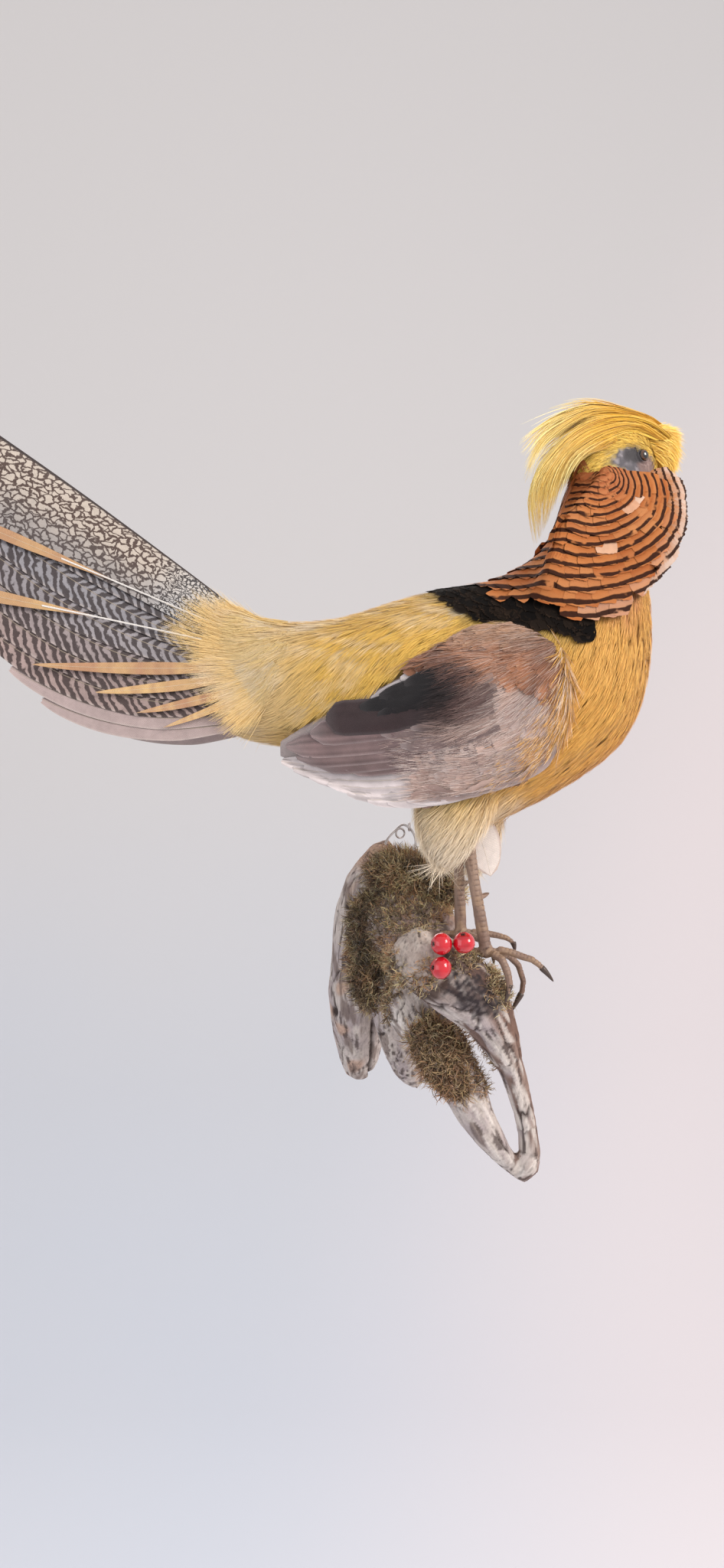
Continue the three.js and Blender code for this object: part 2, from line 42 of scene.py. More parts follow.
midPlane = -140.0  # the bird's middle plane
viewPoint = (-10, -895, 139.5)  # outlines are set as they look from here
headTurn = {"angle": 24, "axisX": 150, "from": 292, "to": 345}
print("frame loaded")


# numbers
def linear(red, green, blue):
    v = np.array([red, green, blue], float) / 255
    return np.where(v > 0.04045, ((v + 0.055) / 1.055) ** 2.4, v / 12.92)


def unit(v):
    return v / np.maximum(np.linalg.norm(v, axis=-1, keepdims=True), 1e-9)


def rise(v, low, high):
    t = np.clip((v - low) / (high - low), 0, 1)
    return t * t * (3 - 2 * t)


def between(a, b, share):
    return a + (b - a) * share


def blend(a, b, share):  # of colours or directions
    return between(a, b, np.asarray(share, float)[..., None])


def tabled(at, rows):  # a value read from rows of [place, value]
    return np.interp(at, *np.transpose(rows))


def along(values, t):  # evenly spaced stations read smoothly
    values = np.asarray(values, float)
    last = len(values) - 1
    at = np.clip(t, 0, 1) * last
    i = np.clip(np.floor(at).astype(int), 0, last - 1)
    f = at - i
    if values.ndim > 1:
        f = f[..., None]
    a, b = values[np.clip(i - 1, 0, last)], values[i]
    c, d = values[i + 1], values[np.clip(i + 2, 0, last)]
    return 0.5 * (2 * b + (c - a) * f + (2 * a - 5 * b + 4 * c - d) * f**2 + (3 * b - a - 3 * c + d) * f**3)


def waves(points, size, seed):  # soft noise between about -1 and 1
    own = np.random.default_rng(seed)
    total = 0
    for _ in range(8):
        aim = unit(own.normal(size=3)) * 2 * np.pi / size * own.uniform(0.6, 1.8)
        total = total + np.sin(points @ aim + own.uniform(0, 6.3))
    return total / 3.2


# Distances from a spot in x and z, which may be wide, tall or slanted and has a ragged edge.
def blot(points, x, z, wide=1.0, tall=1.0, rough=0.0, size=8, seed=0, slant=0.0):
    dx, dz = points[:, 0] - x, points[:, 2] - z
    gap = np.hypot(dx / wide, (dz + slant * dx) / tall)
    return gap + rough * waves(points, size, seed) if rough else gap


def layered(tint, *layers):  # colours laid over one another, each by its own share
    for rgb, share in layers:
        tint = blend(tint, linear(*rgb), share)
    return tint


def mirrored(points):
    return points * [1, -1, 1] + [0, 2 * midPlane, 0]


def turned(points, back=False):  # the head's turn away from the room, or its undoing
    angle = math.radians(headTurn["angle"]) * rise(points[..., 2], headTurn["from"], headTurn["to"])
    angle = -angle if back else angle
    dx, dy = points[..., 0] - headTurn["axisX"], points[..., 1] - midPlane
    c, s = np.cos(angle), np.sin(angle)
    return np.stack([headTurn["axisX"] + dx * c - dy * s, midPlane + dx * s + dy * c, points[..., 2]], -1)


# pieces
def focus(piece):
    bpy.ops.object.select_all(action="DESELECT")
    piece.select_set(True)
    bpy.context.view_layer.objects.active = piece


def applied(piece, kind, **settings):
    focus(piece)
    added = piece.modifiers.new(kind.title(), kind)
    for key, value in settings.items():
        setattr(added, key, value)
    bpy.ops.object.modifier_apply(modifier=added.name)


def remade(piece, voxel, rounds):  # one even closed surface, smoothed
    applied(piece, "REMESH", mode="VOXEL", voxel_size=voxel / 1000)
    smoothed(piece, rounds)


def smoothed(piece, rounds):
    applied(piece, "SMOOTH", factor=0.5, iterations=rounds)


def merged(piece, gap):
    focus(piece)
    bpy.ops.object.mode_set(mode="EDIT")
    bpy.ops.mesh.select_all(action="SELECT")
    bpy.ops.mesh.remove_doubles(threshold=gap)
    bpy.ops.object.mode_set(mode="OBJECT")


def ball(name, place, radius):
    bpy.ops.object.select_all(action="DESELECT")
    bpy.ops.mesh.primitive_uv_sphere_add(
        segments=48, ring_count=32, radius=radius / 1000, location=place / 1000,
    )
    piece = bpy.context.object
    bpy.ops.object.transform_apply(location=True)
    piece.name = name
    return piece


def nodesCopy(name, nodes):  # the CAD nodes' shapes, merged in one new piece
    bpy.ops.object.select_all(action="DESELECT")
    for node in nodes:
        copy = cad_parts[node].copy()
        copy.data = copy.data.copy()
        copy.parent = None
        for key in list(copy.keys()):
            del copy[key]
        bpy.context.scene.collection.objects.link(copy)
        copy.hide_render = copy.hide_viewport = False
        copy.hide_set(False)
        copy.select_set(True)
        bpy.context.view_layer.objects.active = copy
    if len(nodes) > 1:
        bpy.ops.object.join()
    piece = bpy.context.view_layer.objects.active
    piece.name = piece.data.name = name
    piece.data.materials.clear()
    merged(piece, 0.00001)
    return piece


def placesOf(piece):
    flat = np.empty(len(piece.data.vertices) * 3)
    piece.data.vertices.foreach_get("co", flat)
    return flat.reshape(-1, 3) * 1000


def normalsOf(piece):
    flat = np.empty(len(piece.data.vertices) * 3)
    piece.data.vertex_normals.foreach_get("vector", flat)
    return flat.reshape(-1, 3)


def setPlaces(piece, places):
    piece.data.vertices.foreach_set("co", (places / 1000).ravel())
    piece.data.update()


def setTint(piece, tint):
    layer = piece.data.attributes.new("tint", "FLOAT_COLOR", "POINT")
    layer.data.foreach_set("color", np.column_stack([tint, np.ones(len(tint))]).ravel())


def settled(piece, finish, slot, *replaced):
    piece.data.materials.clear()
    piece.data.materials.append(finish)
    piece.data.shade_smooth()
    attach(piece, "root")
    if replaced:
        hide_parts(*replaced)
    return piece


# shaders
class Wire:
    # a shader socket that sums can be written with
    def __init__(self, finish, socket):
        self.finish, self.socket = finish, socket

    def __add__(self, other):
        return self.finish.sum("ADD", self, other)

    def __sub__(self, other):
        return self.finish.sum("SUBTRACT", self, other)

    def __rsub__(self, other):
        return self.finish.sum("SUBTRACT", other, self)

    def __mul__(self, other):
        return self.finish.sum("MULTIPLY", self, other)

    def __abs__(self):
        return self.finish.sum("ABSOLUTE", self)

    __radd__ = __add__
    __rmul__ = __mul__


class Finish:
    # a material: own values of its shader, then nodes
    def __init__(self, name, own=None):
        self.material = bpy.data.materials.new(name)
        self.material.use_nodes = True
        self.tree = self.material.node_tree
        self.shader = self.tree.nodes["Principled BSDF"]
        for socket, value in (own or {}).items():
            self.shader.inputs[socket].default_value = value

    def link(self, socket, value):
        if isinstance(value, Wire):
            self.tree.links.new(value.socket, socket)
        elif np.ndim(value) and socket.type == "RGBA":
            socket.default_value = (*[float(v) for v in value][:3], 1)
        elif np.ndim(value):
            socket.default_value = [float(v) for v in value]
        else:
            socket.default_value = float(value)

    def node(self, kind, settings=None, values=None, out=0):
        made = self.tree.nodes.new("ShaderNode" + kind)
        for key, value in (settings or {}).items():
            if key == "stops":
                stops = made.color_ramp.elements
                while len(stops) < len(value):
                    stops.new(1)
                for stop, (at, colour) in zip(stops, value):
                    stop.position, stop.color = at, (*colour, 1)
            else:
                setattr(made, key, value)
        for key, value in (values or {}).items():
            self.link(made.inputs[key], value)
        return Wire(self, made.outputs[out])

    def sum(self, operation, *values):
        return self.node("Math", {"operation": operation}, dict(enumerate(values)))

    def split(self, vector):
        parts = self.node("SeparateXYZ", None, {0: vector})
        return [Wire(self, parts.socket.node.outputs[k]) for k in range(3)]

    def joined(self, x, y, z=0):
        return self.node("CombineXYZ", None, {0: x, 1: y, 2: z})

    def mixed(self, share, a, b, how="MIX"):
        return self.node("Mix", {"data_type": "RGBA", "blend_type": how}, {0: share, 6: a, 7: b}, 2)

    def between(self, value, low, high):  # 0 below low, 1 above high
        return self.node("MapRange", {"interpolation_type": "SMOOTHSTEP"}, {0: value, 1: low, 2: high})

    def noise(self, vector, scale, detail=3, rough=0.5):
        return self.node(
            "TexNoise", None, {"Vector": vector, "Scale": scale, "Detail": detail, "Roughness": rough},
        )

    def spot(self):
        return self.node("TexCoord", out=3)

    def stretched(self, vector, *scale):
        return self.node("Mapping", None, {"Vector": vector, "Scale": scale})

    def uv(self, name):
        return self.split(self.node("UVMap", {"uv_map": name}))[:2]

    def stored(self, name, out=0):  # a value kept on the mesh
        return self.node("Attribute", {"attribute_name": name}, out=out)

    def shaded(self, colour, light):  # a colour times a number
        return self.node("VectorMath", {"operation": "SCALE"}, {0: colour, "Scale": light})

    def bump(self, height, depth, strength=0.6):
        self.feed(
            "Normal", self.node("Bump", None, {"Height": height, "Distance": depth, "Strength": strength}),
        )

    def feed(self, socket, value):
        self.link(self.shader.inputs[socket], value)
        return self


# feathers
class Ground:
    # a surface that feathers are laid on
    def __init__(self, piece):
        faces = [tuple(face.vertices) for face in piece.data.polygons]
        self.places = placesOf(piece)
        self.normals = normalsOf(piece)
        self.tree = BVHTree.FromPolygons(self.places.tolist(), faces)

    def nearest(self, points):
        found = [self.tree.find_nearest(p) for p in points.tolist()]
        return np.array([f[0][:] for f in found]), np.array([f[1][:] for f in found])

    def spread(self, wanted, spacing):  # vertices about evenly spaced over a chosen part, with their normals
        chosen = np.flatnonzero(wanted)
        chosen = dice.permutation(chosen)
        cells = np.floor(self.places[chosen] / spacing + dice.uniform(0, 1, 3)).astype(int)
        _, first = np.unique(cells, axis=0, return_index=True)
        return self.places[chosen[first]], self.normals[chosen[first]]

    # Lines that follow the lie of the feathers over the surface, and run straight on past its edge.
    def combed(self, at, out, flow, lengths, rows, sink=0.6, lift=1.0):
        lines, ups = np.empty((len(at), rows, 3)), np.empty((len(at), rows, 3))
        stride = (lengths / (rows - 1))[:, None]
        for k in range(rows):
            lines[:, k], ups[:, k] = at, out
            aim = flow(at)
            aim = unit(aim - out * np.sum(aim * out, -1, keepdims=True))
            ahead = at + aim * stride
            near, nearOut = self.nearest(ahead)
            onIt = np.linalg.norm(near - ahead, axis=-1, keepdims=True) < 0.55 * stride
            at = np.where(onIt, near, ahead)
            out = unit(np.where(onIt, out * 0.5 + nearOut, out))
        s = np.linspace(0, 1, rows)[None, :, None]
        return lines + ups * (lift * s - sink), ups

    # A grid of places pressed to the surface, each row at its own height, and left alone past its edge.
    def pressed(self, grid, heights, slack=3.5):
        flat = grid.reshape(-1, 3)
        near, out = self.nearest(flat)
        height = np.broadcast_to(np.asarray(heights)[..., None], grid.shape[:3]).reshape(-1, 1)
        on = rise(np.linalg.norm(near - flat, axis=1, keepdims=True), slack + 1.5, slack)
        return (flat + (near + out * height - flat) * on).reshape(grid.shape)


def flowFrom(guides, reach=30.0):  # a field of directions from [x, out, z, dx, dOut, dz] rows
    guides = np.array(guides, float)

    def flow(points):
        side = points[:, 1] - midPlane
        folded = np.column_stack([points[:, 0], np.abs(side), points[:, 2]])
        gap = ((folded[:, None] - guides[None, :, :3]) ** 2).sum(-1)
        weight = np.exp(-(gap - gap.min(1, keepdims=True)) / (2 * reach**2)) / (1 + gap / reach**2)
        aim = unit(weight @ unit(guides[:, 3:]))
        aim[:, 1] *= np.sign(side)
        return aim

    return flow


# Flat vanes about lines: a grid of places for each, (feathers, rows, columns, xyz).
def vanes(lines, ups, widths, profile, columns=5, cup=0.2, slant=0.0, fray=0.0, lean=0.0):
    rows = lines.shape[1]
    s, c = np.linspace(0, 1, rows), np.linspace(-1, 1, columns)
    aim = unit(np.gradient(lines, axis=1))
    side = unit(np.cross(aim, ups))
    half = (widths[:, None] * profile(s)[None, :] / 2)[..., None]
    grid = lines[:, :, None] + side[:, :, None] * (half * (c + lean))[..., None]
    grid = grid - ups[:, :, None] * (cup * half * c**2)[..., None]
    back = (
        slant * half * (1 - c**2)
        + fray * dice.uniform(-1, 1, (len(lines), 1, columns)) * s[None, :, None] ** 3
    )
    return grid + aim[:, :, None] * back[..., None]


# Thin strands that fan out from each line: a ribbon for each, (lines * strands, rows, 2, xyz).
def strands(lines, ups, count, spread, width, loft=0.8, least=0.55, twist=0.9, points=4):
    n, rows = lines.shape[:2]
    s = np.linspace(0, 1, points)
    aim = unit(np.gradient(lines, axis=1))
    side = unit(np.cross(aim, ups))
    fan = dice.uniform(-1, 1, (n, count, 1))
    share = dice.uniform(least, 1.0, (n, count, 1)) * s
    at = share * (rows - 1)
    i = np.minimum(at.astype(int), rows - 2)
    f = (at - i)[..., None]
    which = np.arange(n)[:, None, None]
    read = lambda values: values[which, i] * (1 - f) + values[which, i + 1] * f
    across, up = read(side), read(ups)
    bow = fan * spread * (0.25 + share) + dice.uniform(-0.25, 0.25, (n, count, 1)) * spread * share**2
    lofted = loft * share * dice.uniform(-0.3, 1, (n, count, 1))
    centre = read(lines) + across * bow[..., None] + up * lofted[..., None]
    twist = dice.uniform(-twist, twist, (n, count, 1))[..., None]
    flat = unit(across * np.cos(twist) + up * np.sin(twist))
    half = (width * dice.uniform(0.6, 1.2, (n, count, 1)) * np.sqrt(np.clip(1.02 - s, 0, 1)) / 2)[..., None]
    grid = np.stack([centre - flat * half, centre + flat * half], 3)
    return grid.reshape(n * count, points, 2, 3)


def rounded(s):  # a vane's width from root to tip
    return np.clip(0.35 + 1.6 * s, 0, 1) * np.sqrt(np.clip(1 - ((s - 0.62) / 0.4).clip(0) ** 2, 0, 1))


def squared(s):
    return np.clip(0.4 + 1.2 * s, 0, 1) * np.where(s > 0.97, 0.9, 1)


# Unwraps of the bird's own shape: how far along it a place is, and the angle round it.
spine = np.array(
    [
        [-130, 226], [-80, 208], [-20, 205], [40, 200], [95, 215], [130, 250], [148, 290], [155, 330],
        [160, 385],
    ],
)


def bodyUnwrap(points):
    x, z = points[:, 0], points[:, 2]
    a, b = spine[:-1], spine[1:]
    flat = np.column_stack([x, z])[:, None]
    share = np.clip(((flat - a) * (b - a)).sum(-1) / ((b - a) ** 2).sum(-1), 0, 1)
    on = a + (b - a) * share[..., None]
    gap = np.linalg.norm(flat - on, axis=-1)
    k = gap.argmin(1)
    row = np.arange(len(points))
    u = (k + share[row, k]) / len(a)
    normal = (b - a)[k][:, ::-1] * [-1, 1]
    above = ((flat[:, 0] - on[row, k]) * unit(normal)).sum(-1)
    v = np.arctan2(points[:, 1] - midPlane, above) / (2 * np.pi) + 0.5
    return np.column_stack([0.03 + 0.94 * u, 0.03 + 0.94 * v])


class Plumage:
    # gathers the feathers of one piece and joins them in one mesh
    def __init__(self):
        self.parts = []

    # tint is a colour per feather, per row or per vertex; patch is each feather's place on the bake map
    def add(self, grid, tint, patch, patchSize=0.003, mark=0.0, both=False):
        n, rows, columns = grid.shape[:3]
        tint = np.asarray(tint, float)
        tint = tint.reshape(tint.shape[:-1] + (1,) * (4 - tint.ndim) + (3,)) if tint.ndim < 4 else tint
        tint = np.broadcast_to(tint, grid.shape)
        middle = grid[:, :, columns // 2] if columns % 2 else grid.mean(2)
        step = np.linalg.norm(np.diff(middle, axis=1), axis=-1)
        length = np.concatenate([np.zeros((n, 1)), step.cumsum(1)], 1)
        across = np.linspace(-1, 1, columns)
        width = np.linalg.norm(grid[:, :, -1] - grid[:, :, 0], axis=-1) / 2
        lay = np.stack(
            [width[..., None] * across, np.broadcast_to(length[..., None], (n, rows, columns))], -1,
        )
        shares = (across[None, None] / 2 + 0.5, np.linspace(0, 1, rows)[None, :, None], lay[..., 0])
        span = np.stack(np.broadcast_arrays(*shares)[:2], -1)
        size = np.broadcast_to(np.asarray(patchSize, float), (2,))
        bake = patch[:, None, None] + (span - 0.5) * size
        mark = np.asarray(mark, float)
        mark = np.broadcast_to(mark.reshape(mark.shape + (1,) * (3 - mark.ndim)), (n, rows, columns))
        self.parts.append([grid, tint, lay, span, bake, mark])
        if both:
            flip = lambda values: values[:, :, ::-1]
            far = [flip(mirrored(grid)), flip(tint), flip(lay), flip(span), flip(bake), flip(mark)]
            far[4] = far[4] * [1, -1] + [0, 1]
            self.parts.append(far)

    def build(self, name, finish, slot, *replaced, welded=False):
        corners, first = [], 0
        for part in self.parts:
            n, rows, columns = part[0].shape[:3]
            ids = np.arange(first, first + n * rows * columns).reshape(n, rows, columns)
            quad = [ids[:, :-1, :-1], ids[:, :-1, 1:], ids[:, 1:, 1:], ids[:, 1:, :-1]]
            corners.append(np.stack(quad, -1).reshape(-1, 4))
            first += n * rows * columns
        corners = np.concatenate(corners)
        flat = lambda k, size: np.concatenate([part[k].reshape(-1, size) for part in self.parts])
        mesh = bpy.data.meshes.new(name)
        mesh.vertices.add(first)
        mesh.vertices.foreach_set("co", (flat(0, 3) / 1000).ravel())
        mesh.loops.add(corners.size)
        mesh.loops.foreach_set("vertex_index", corners.ravel())
        mesh.polygons.add(len(corners))
        mesh.polygons.foreach_set("loop_start", np.arange(0, corners.size, 4))
        mesh.update(calc_edges=True)
        for label, k, scale in (("OFBake", 4, 1), ("lay", 2, 0.001), ("span", 3, 1)):
            layer = mesh.uv_layers.new(name=label)
            layer.data.foreach_set("uv", (flat(k, 2) * scale)[corners.ravel()].ravel())
        mark = mesh.attributes.new("mark", "FLOAT", "POINT")
        mark.data.foreach_set("value", flat(5, 1).ravel())
        piece = bpy.data.objects.new(name, mesh)
        bpy.context.scene.collection.objects.link(piece)
        setTint(piece, flat(1, 3))
        if welded:  # rods are closed along their seam and at their ends
            merged(piece, 0.000002)
            bpy.ops.object.mode_set(mode="EDIT")
            bpy.ops.mesh.normals_make_consistent(inside=False)
            bpy.ops.object.mode_set(mode="OBJECT")
        print(f"{name}: {len(corners) * 2} triangles")
        return settled(piece, finish, slot, *replaced)


# camera, light and backdrop
stand = {"place": viewPoint, "lens": 26.016, "floor": -1350, "wall": 3400}
bpy.ops.object.camera_add(location=[v / 1000 for v in stand["place"]], rotation=(math.pi / 2, 0, 0))
camera = bpy.context.object
camera.data.sensor_width = 36
camera.data.lens = stand["lens"]
camera.data.clip_start = 0.02
bpy.context.scene.camera = camera
bpy.context.scene.view_settings.view_transform = "Standard"

lamps = {
    "key": {
        "place": (1500, -1300, 1000), "aim": (0, -120, 180), "size": 1.0, "power": 36,
        "colour": (1, 0.96, 0.92),
    },
    "fill": {
        "place": (-1500, -1300, 300), "aim": (0, -120, 150), "size": 1.6, "power": 9,
        "colour": (0.86, 0.92, 1),
    },
    "rear": {
        "place": (-300, 1400, 1300), "aim": (-100, -120, 200), "size": 1.4, "power": 14,
        "colour": (1, 0.97, 0.95),
    },
}
for name, lamp in lamps.items():
    place, aim = (np.array(lamp[key], float) / 1000 for key in ("place", "aim"))
    dx, dy, dz = aim - place
    turn = (math.atan2(math.hypot(dx, dy), -dz), 0, math.atan2(dy, dx) - math.pi / 2)
    bpy.ops.object.light_add(type="AREA", location=place, rotation=turn)
    light = bpy.context.object
    light.name = name
    light.data.size = lamp["size"]
    light.data.energy = lamp["power"]
    light.data.color = lamp["colour"]

world = bpy.data.worlds.new("room")
bpy.context.scene.world = world
world.use_nodes = True
world.node_tree.nodes["Background"].inputs["Color"].default_value = (*linear(226, 225, 226), 1)
world.node_tree.nodes["Background"].inputs["Strength"].default_value = 1.0

bpy.ops.object.select_all(action="DESELECT")
bpy.ops.mesh.primitive_plane_add(size=9, location=(0, stand["wall"] / 1000 - 4.5, stand["floor"] / 1000))
backdrop = bpy.context.object
backdrop.name = "backdrop"
for edge in backdrop.data.edges:
    edge.select = all(backdrop.data.vertices[k].co.y > 4 for k in edge.vertices)
for face in backdrop.data.polygons:
    face.select = False
for vertex in backdrop.data.vertices:
    vertex.select = vertex.co.y > 4
bpy.ops.object.mode_set(mode="EDIT")
bpy.ops.mesh.select_mode(type="EDGE")
bpy.ops.mesh.extrude_region_move(TRANSFORM_OT_translate={"value": (0, 0, 6)})
bpy.ops.object.mode_set(mode="OBJECT")
bpy.ops.object.transform_apply(location=True)
applied(backdrop, "BEVEL", width=1.6, segments=16, limit_method="ANGLE")
backdrop.data.shade_smooth()
paper = Finish("paper", {"Roughness": 0.95, "Specular IOR Level": 0.1})
sideways, _, height = paper.split(paper.spot())
mottle = paper.noise(paper.spot(), 0.9, 2)
# painted shade: the backdrop turns bluish and darker toward the bottom, with a soft mottle
paintedShadeFade = paper.between(height + mottle * 0.6, -1.9, 0.9)
wall = paper.mixed(paintedShadeFade, linear(214, 220, 232), linear(230, 226, 224))
# painted light: the backdrop is lighter and pinker toward the right, fading higher up
paintedLight = paper.between(sideways - height * 0.4, 0.1, 1.5) * 0.7
paper.feed("Base Color", paper.mixed(paintedLight, wall, linear(252, 240, 240)))
backdrop.data.materials.append(paper.material)
print("camera, light and backdrop")


# skin
markings = {
    "lemon": (226, 184, 88), "amber": (222, 168, 80), "deep": (224, 160, 68), "pale": (232, 214, 184),
    "cream": (244, 228, 204), "olive": (240, 202, 116), "black": (30, 26, 24), "brown": (88, 68, 54),
    "tawny": (206, 138, 86),
}
shades = {name: linear(*rgb) for name, rgb in markings.items()}
skinDepth = {"body": 3.2, "head": 1.0, "face": 0.2, "voxel": 2.0}
eyeSpot = {"place": (171.4, 14.2, 356.8), "radius": 4.6, "bareAt": (-6.0, -5.0), "bareSize": (19.5, 9.6)}


def mantleBand(x, z):  # how far in front of the mantle's slanting rear edge
    return x - 0.92 * (268 - z)


def bodyTint(points):
    x, z = points[:, 0], points[:, 2]
    out = np.abs(points[:, 1] - midPlane)
    soft = waves(points, 46, 3)
    tint = blend(shades["lemon"], shades["amber"], rise(x + 0.35 * (230 - z), 96, 140))
    tint = blend(tint, shades["deep"], 0.75 * rise(-z + 0.75 * x + 12 * soft, -72, -28) * rise(x, 40, 100))
    spots = rise(waves(points * [0.8, 1, 1.3], 34, 9), 0.3, 1.0) * rise(x, 96, 60)
    tint = blend(tint, shades["pale"], 0.8 * spots)
    tint = blend(tint, shades["pale"], 0.5 * rise(x + 14 * soft, -38, -86))
    low = rise(z, 168, 138) * rise(x, 96, 60)
    tint = blend(tint, shades["cream"], 0.8 * low)
    neck = rise(z + 0.28 * (x - 70), 266, 273) * rise(x, 176, 160)
    tint = blend(tint, shades["tawny"], neck)
    band = mantleBand(x, z) + 3 * soft
    mantle = rise(band, 36, 44) * rise(z + 0.14 * (x - 132), 231, 236)
    mantle = mantle * rise(x, 136, 130) * rise(z + 0.42 * x, 306, 298)
    sooty = blend(shades["black"], shades["brown"], 0.5 * rise(waves(points, 12, 5), 0, 1))
    tint = blend(tint, sooty, mantle)
    thigh = rise(z, 152, 138) * rise(x, 96, 84) * rise(out, 4, 14)
    thighTint = blend(shades["olive"], shades["cream"], rise(z + 6 * soft, 138, 110))
    thighTint = blend(thighTint, shades["amber"], 0.7 * rise(x + 0.8 * (z - 130) + 4 * soft, 66, 90))
    return blend(tint, thighTint, thigh)


def fromEye(points):  # places on the unturned head, counted from the eye and the middle plane
    return turned(points, back=True) - [eyeSpot["place"][0], midPlane, eyeSpot["place"][2]]


def faceTint(points, tint):  # the head: gold, with bare skin round the eye
    x, _, z = fromEye(points).T
    tint = blend(tint, linear(246, 208, 96), rise(points[:, 2], 336, 344))
    bare = bareFace(points)
    mottled = rise(waves(points, 5, 13), -0.2, 0.9)
    bareTint = blend(linear(132, 104, 98), linear(170, 142, 132), 0.7 * mottled)
    greyed = blend(linear(86, 80, 86), linear(150, 142, 146), mottled)
    bareTint = blend(bareTint, greyed, rise(x + 0.4 * z, -6, -11))
    dark = rise(np.hypot((x + 5.5) / 10.5, (z - 0.5 - 0.15 * x) / 5.2) + 0.12 * mottled, 1.35, 0.85)
    bareTint = blend(bareTint, linear(44, 37, 41), dark)
    return blend(tint, bareTint, bare)


def bareFace(points):
    x, out, z = fromEye(points).T
    (atX, atZ), (wide, tall) = eyeSpot["bareAt"], eyeSpot["bareSize"]
    x, z = x - atX, z - atZ
    gap = np.hypot((x * 0.98 + z * 0.2) / wide, (z * 0.98 - x * 0.10) / tall)
    return rise(gap + 0.10 * waves(points, 6, 14), 1.15, 0.85) * (np.abs(out) > 7)


def eyePlace(side, ahead=0.0, out=0.0):
    x, across, z = eyeSpot["place"]
    return turned(np.array([[x + ahead, midPlane + side * (across + out), z]]))[0]


skin = nodesCopy("skin", ["head", "neck", "trunk", "rump", "thigh_right", "thigh_left"])
remade(skin, skinDepth["voxel"], 14)
eyes = [eyePlace(side) for side in (-1, 1)]
for reach in (13, 9):  # finer round the eyes
    near = [np.linalg.norm(placesOf(skin) - eye, axis=1) < reach for eye in eyes]
    wanted = near[0] | near[1]
    focus(skin)
    bpy.ops.object.mode_set(mode="EDIT")
    bpy.ops.mesh.select_mode(type="FACE")
    bpy.ops.mesh.select_all(action="DESELECT")
    bpy.ops.object.mode_set(mode="OBJECT")
    for face in skin.data.polygons:
        face.select = all(wanted[k] for k in face.vertices)
    bpy.ops.object.mode_set(mode="EDIT")
    bpy.ops.mesh.subdivide(smoothness=0.3)
    bpy.ops.object.mode_set(mode="OBJECT")
coatGround = Ground(skin)
places, normals = placesOf(skin), normalsOf(skin)
onHead = rise(places[:, 2], 336, 352)
depth = between(skinDepth["body"], skinDepth["head"], onHead)
depth = between(depth, skinDepth["face"], bareFace(places))
for eye in eyes:  # the socket, the lids round it and a fold under them
    own = turned(places, back=True) - turned(eye[None], back=True)
    around = np.hypot(own[:, 0], own[:, 2] * np.where(own[:, 2] > 0, 1.22, 1.1))
    near = np.linalg.norm(places - eye, axis=1) < 12
    depth = depth - near * 1.5 * np.exp(-(((around - 5.3) / 1.0) ** 2))
    depth = depth + near * 3.4 * rise(around, 4.6, 3.7)
    depth = depth - near * 0.5 * np.exp(-(((around - 8.0) / 0.7) ** 2)) * (own[:, 2] < 1)
setPlaces(skin, places - normals * depth[:, None])
setTint(skin, faceTint(places, bodyTint(places)))
hide = Finish("hide", {"Roughness": 0.62, "Sheen Weight": 0.15})
spot = hide.spot()
grain = hide.noise(spot, 900, 3)
hide.feed("Base Color", hide.shaded(hide.stored("tint"), 0.62 + grain * 0.4))
hide.feed("Roughness", 0.5 + grain * 0.25)
hide.bump(grain + hide.noise(spot, 2600, 2) * 0.4, 0.0006)
settled(skin, hide.material, "yellow", "head", "neck", "trunk", "rump", "thigh_right", "thigh_left")
print(f"skin: {len(skin.data.polygons)} faces")


# feather finishes
def strandFinish(name, rough=0.55, sheen=0.25, low=0.72, gain=0.32):  # soft strands, darker at the root
    finish = Finish(name, {"Roughness": rough, "Sheen Weight": sheen, "Specular IOR Level": 0.3})
    _, tip = finish.uv("span")
    own = finish.stored("mark", 2)
    # painted shade: the tint is darker toward the root, where strands lie under their neighbours, and lighter
    # toward the tip
    finish.feed("Base Color", finish.shaded(finish.stored("tint"), low + tip * gain + own * 0.14))
    return finish.material


# Fine barbs either side of a quill; a pattern gets the feather's own places by name.
def vaneFinish(name, pattern=None, rough=0.6, sheen=0.2, quilled=True, relief=1.0, shine=0.3):
    finish = Finish(name, {"Roughness": rough, "Sheen Weight": sheen, "Specular IOR Level": shine})
    side, tip = finish.uv("span")
    across, length = finish.uv("lay")
    own = finish.stored("mark", 2)
    wobble = finish.noise(finish.joined(across, length, own), 260, 2)
    barb = finish.sum("SINE", (abs(across) * 0.9 - length) * 6200 + wobble * 9)
    quill = 1 - finish.between(abs(across), 0.00012, 0.00042 - tip * 0.0002)
    colour = finish.stored("tint")
    if pattern:
        at = {"side": side, "tip": tip, "across": across, "length": length, "own": own}
        colour = pattern(finish, colour=colour, **at)
    colour = finish.shaded(colour, 0.82 + tip * 0.18 + barb * 0.05 + (wobble - 0.5) * 0.3)
    if quilled:
        colour = finish.mixed(quill * 0.4, colour, linear(214, 196, 170))
    finish.feed("Base Color", colour)
    finish.bump(barb * 0.5 + quill * 2 * quilled, 0.00025 * relief, 0.5)
    return finish.material


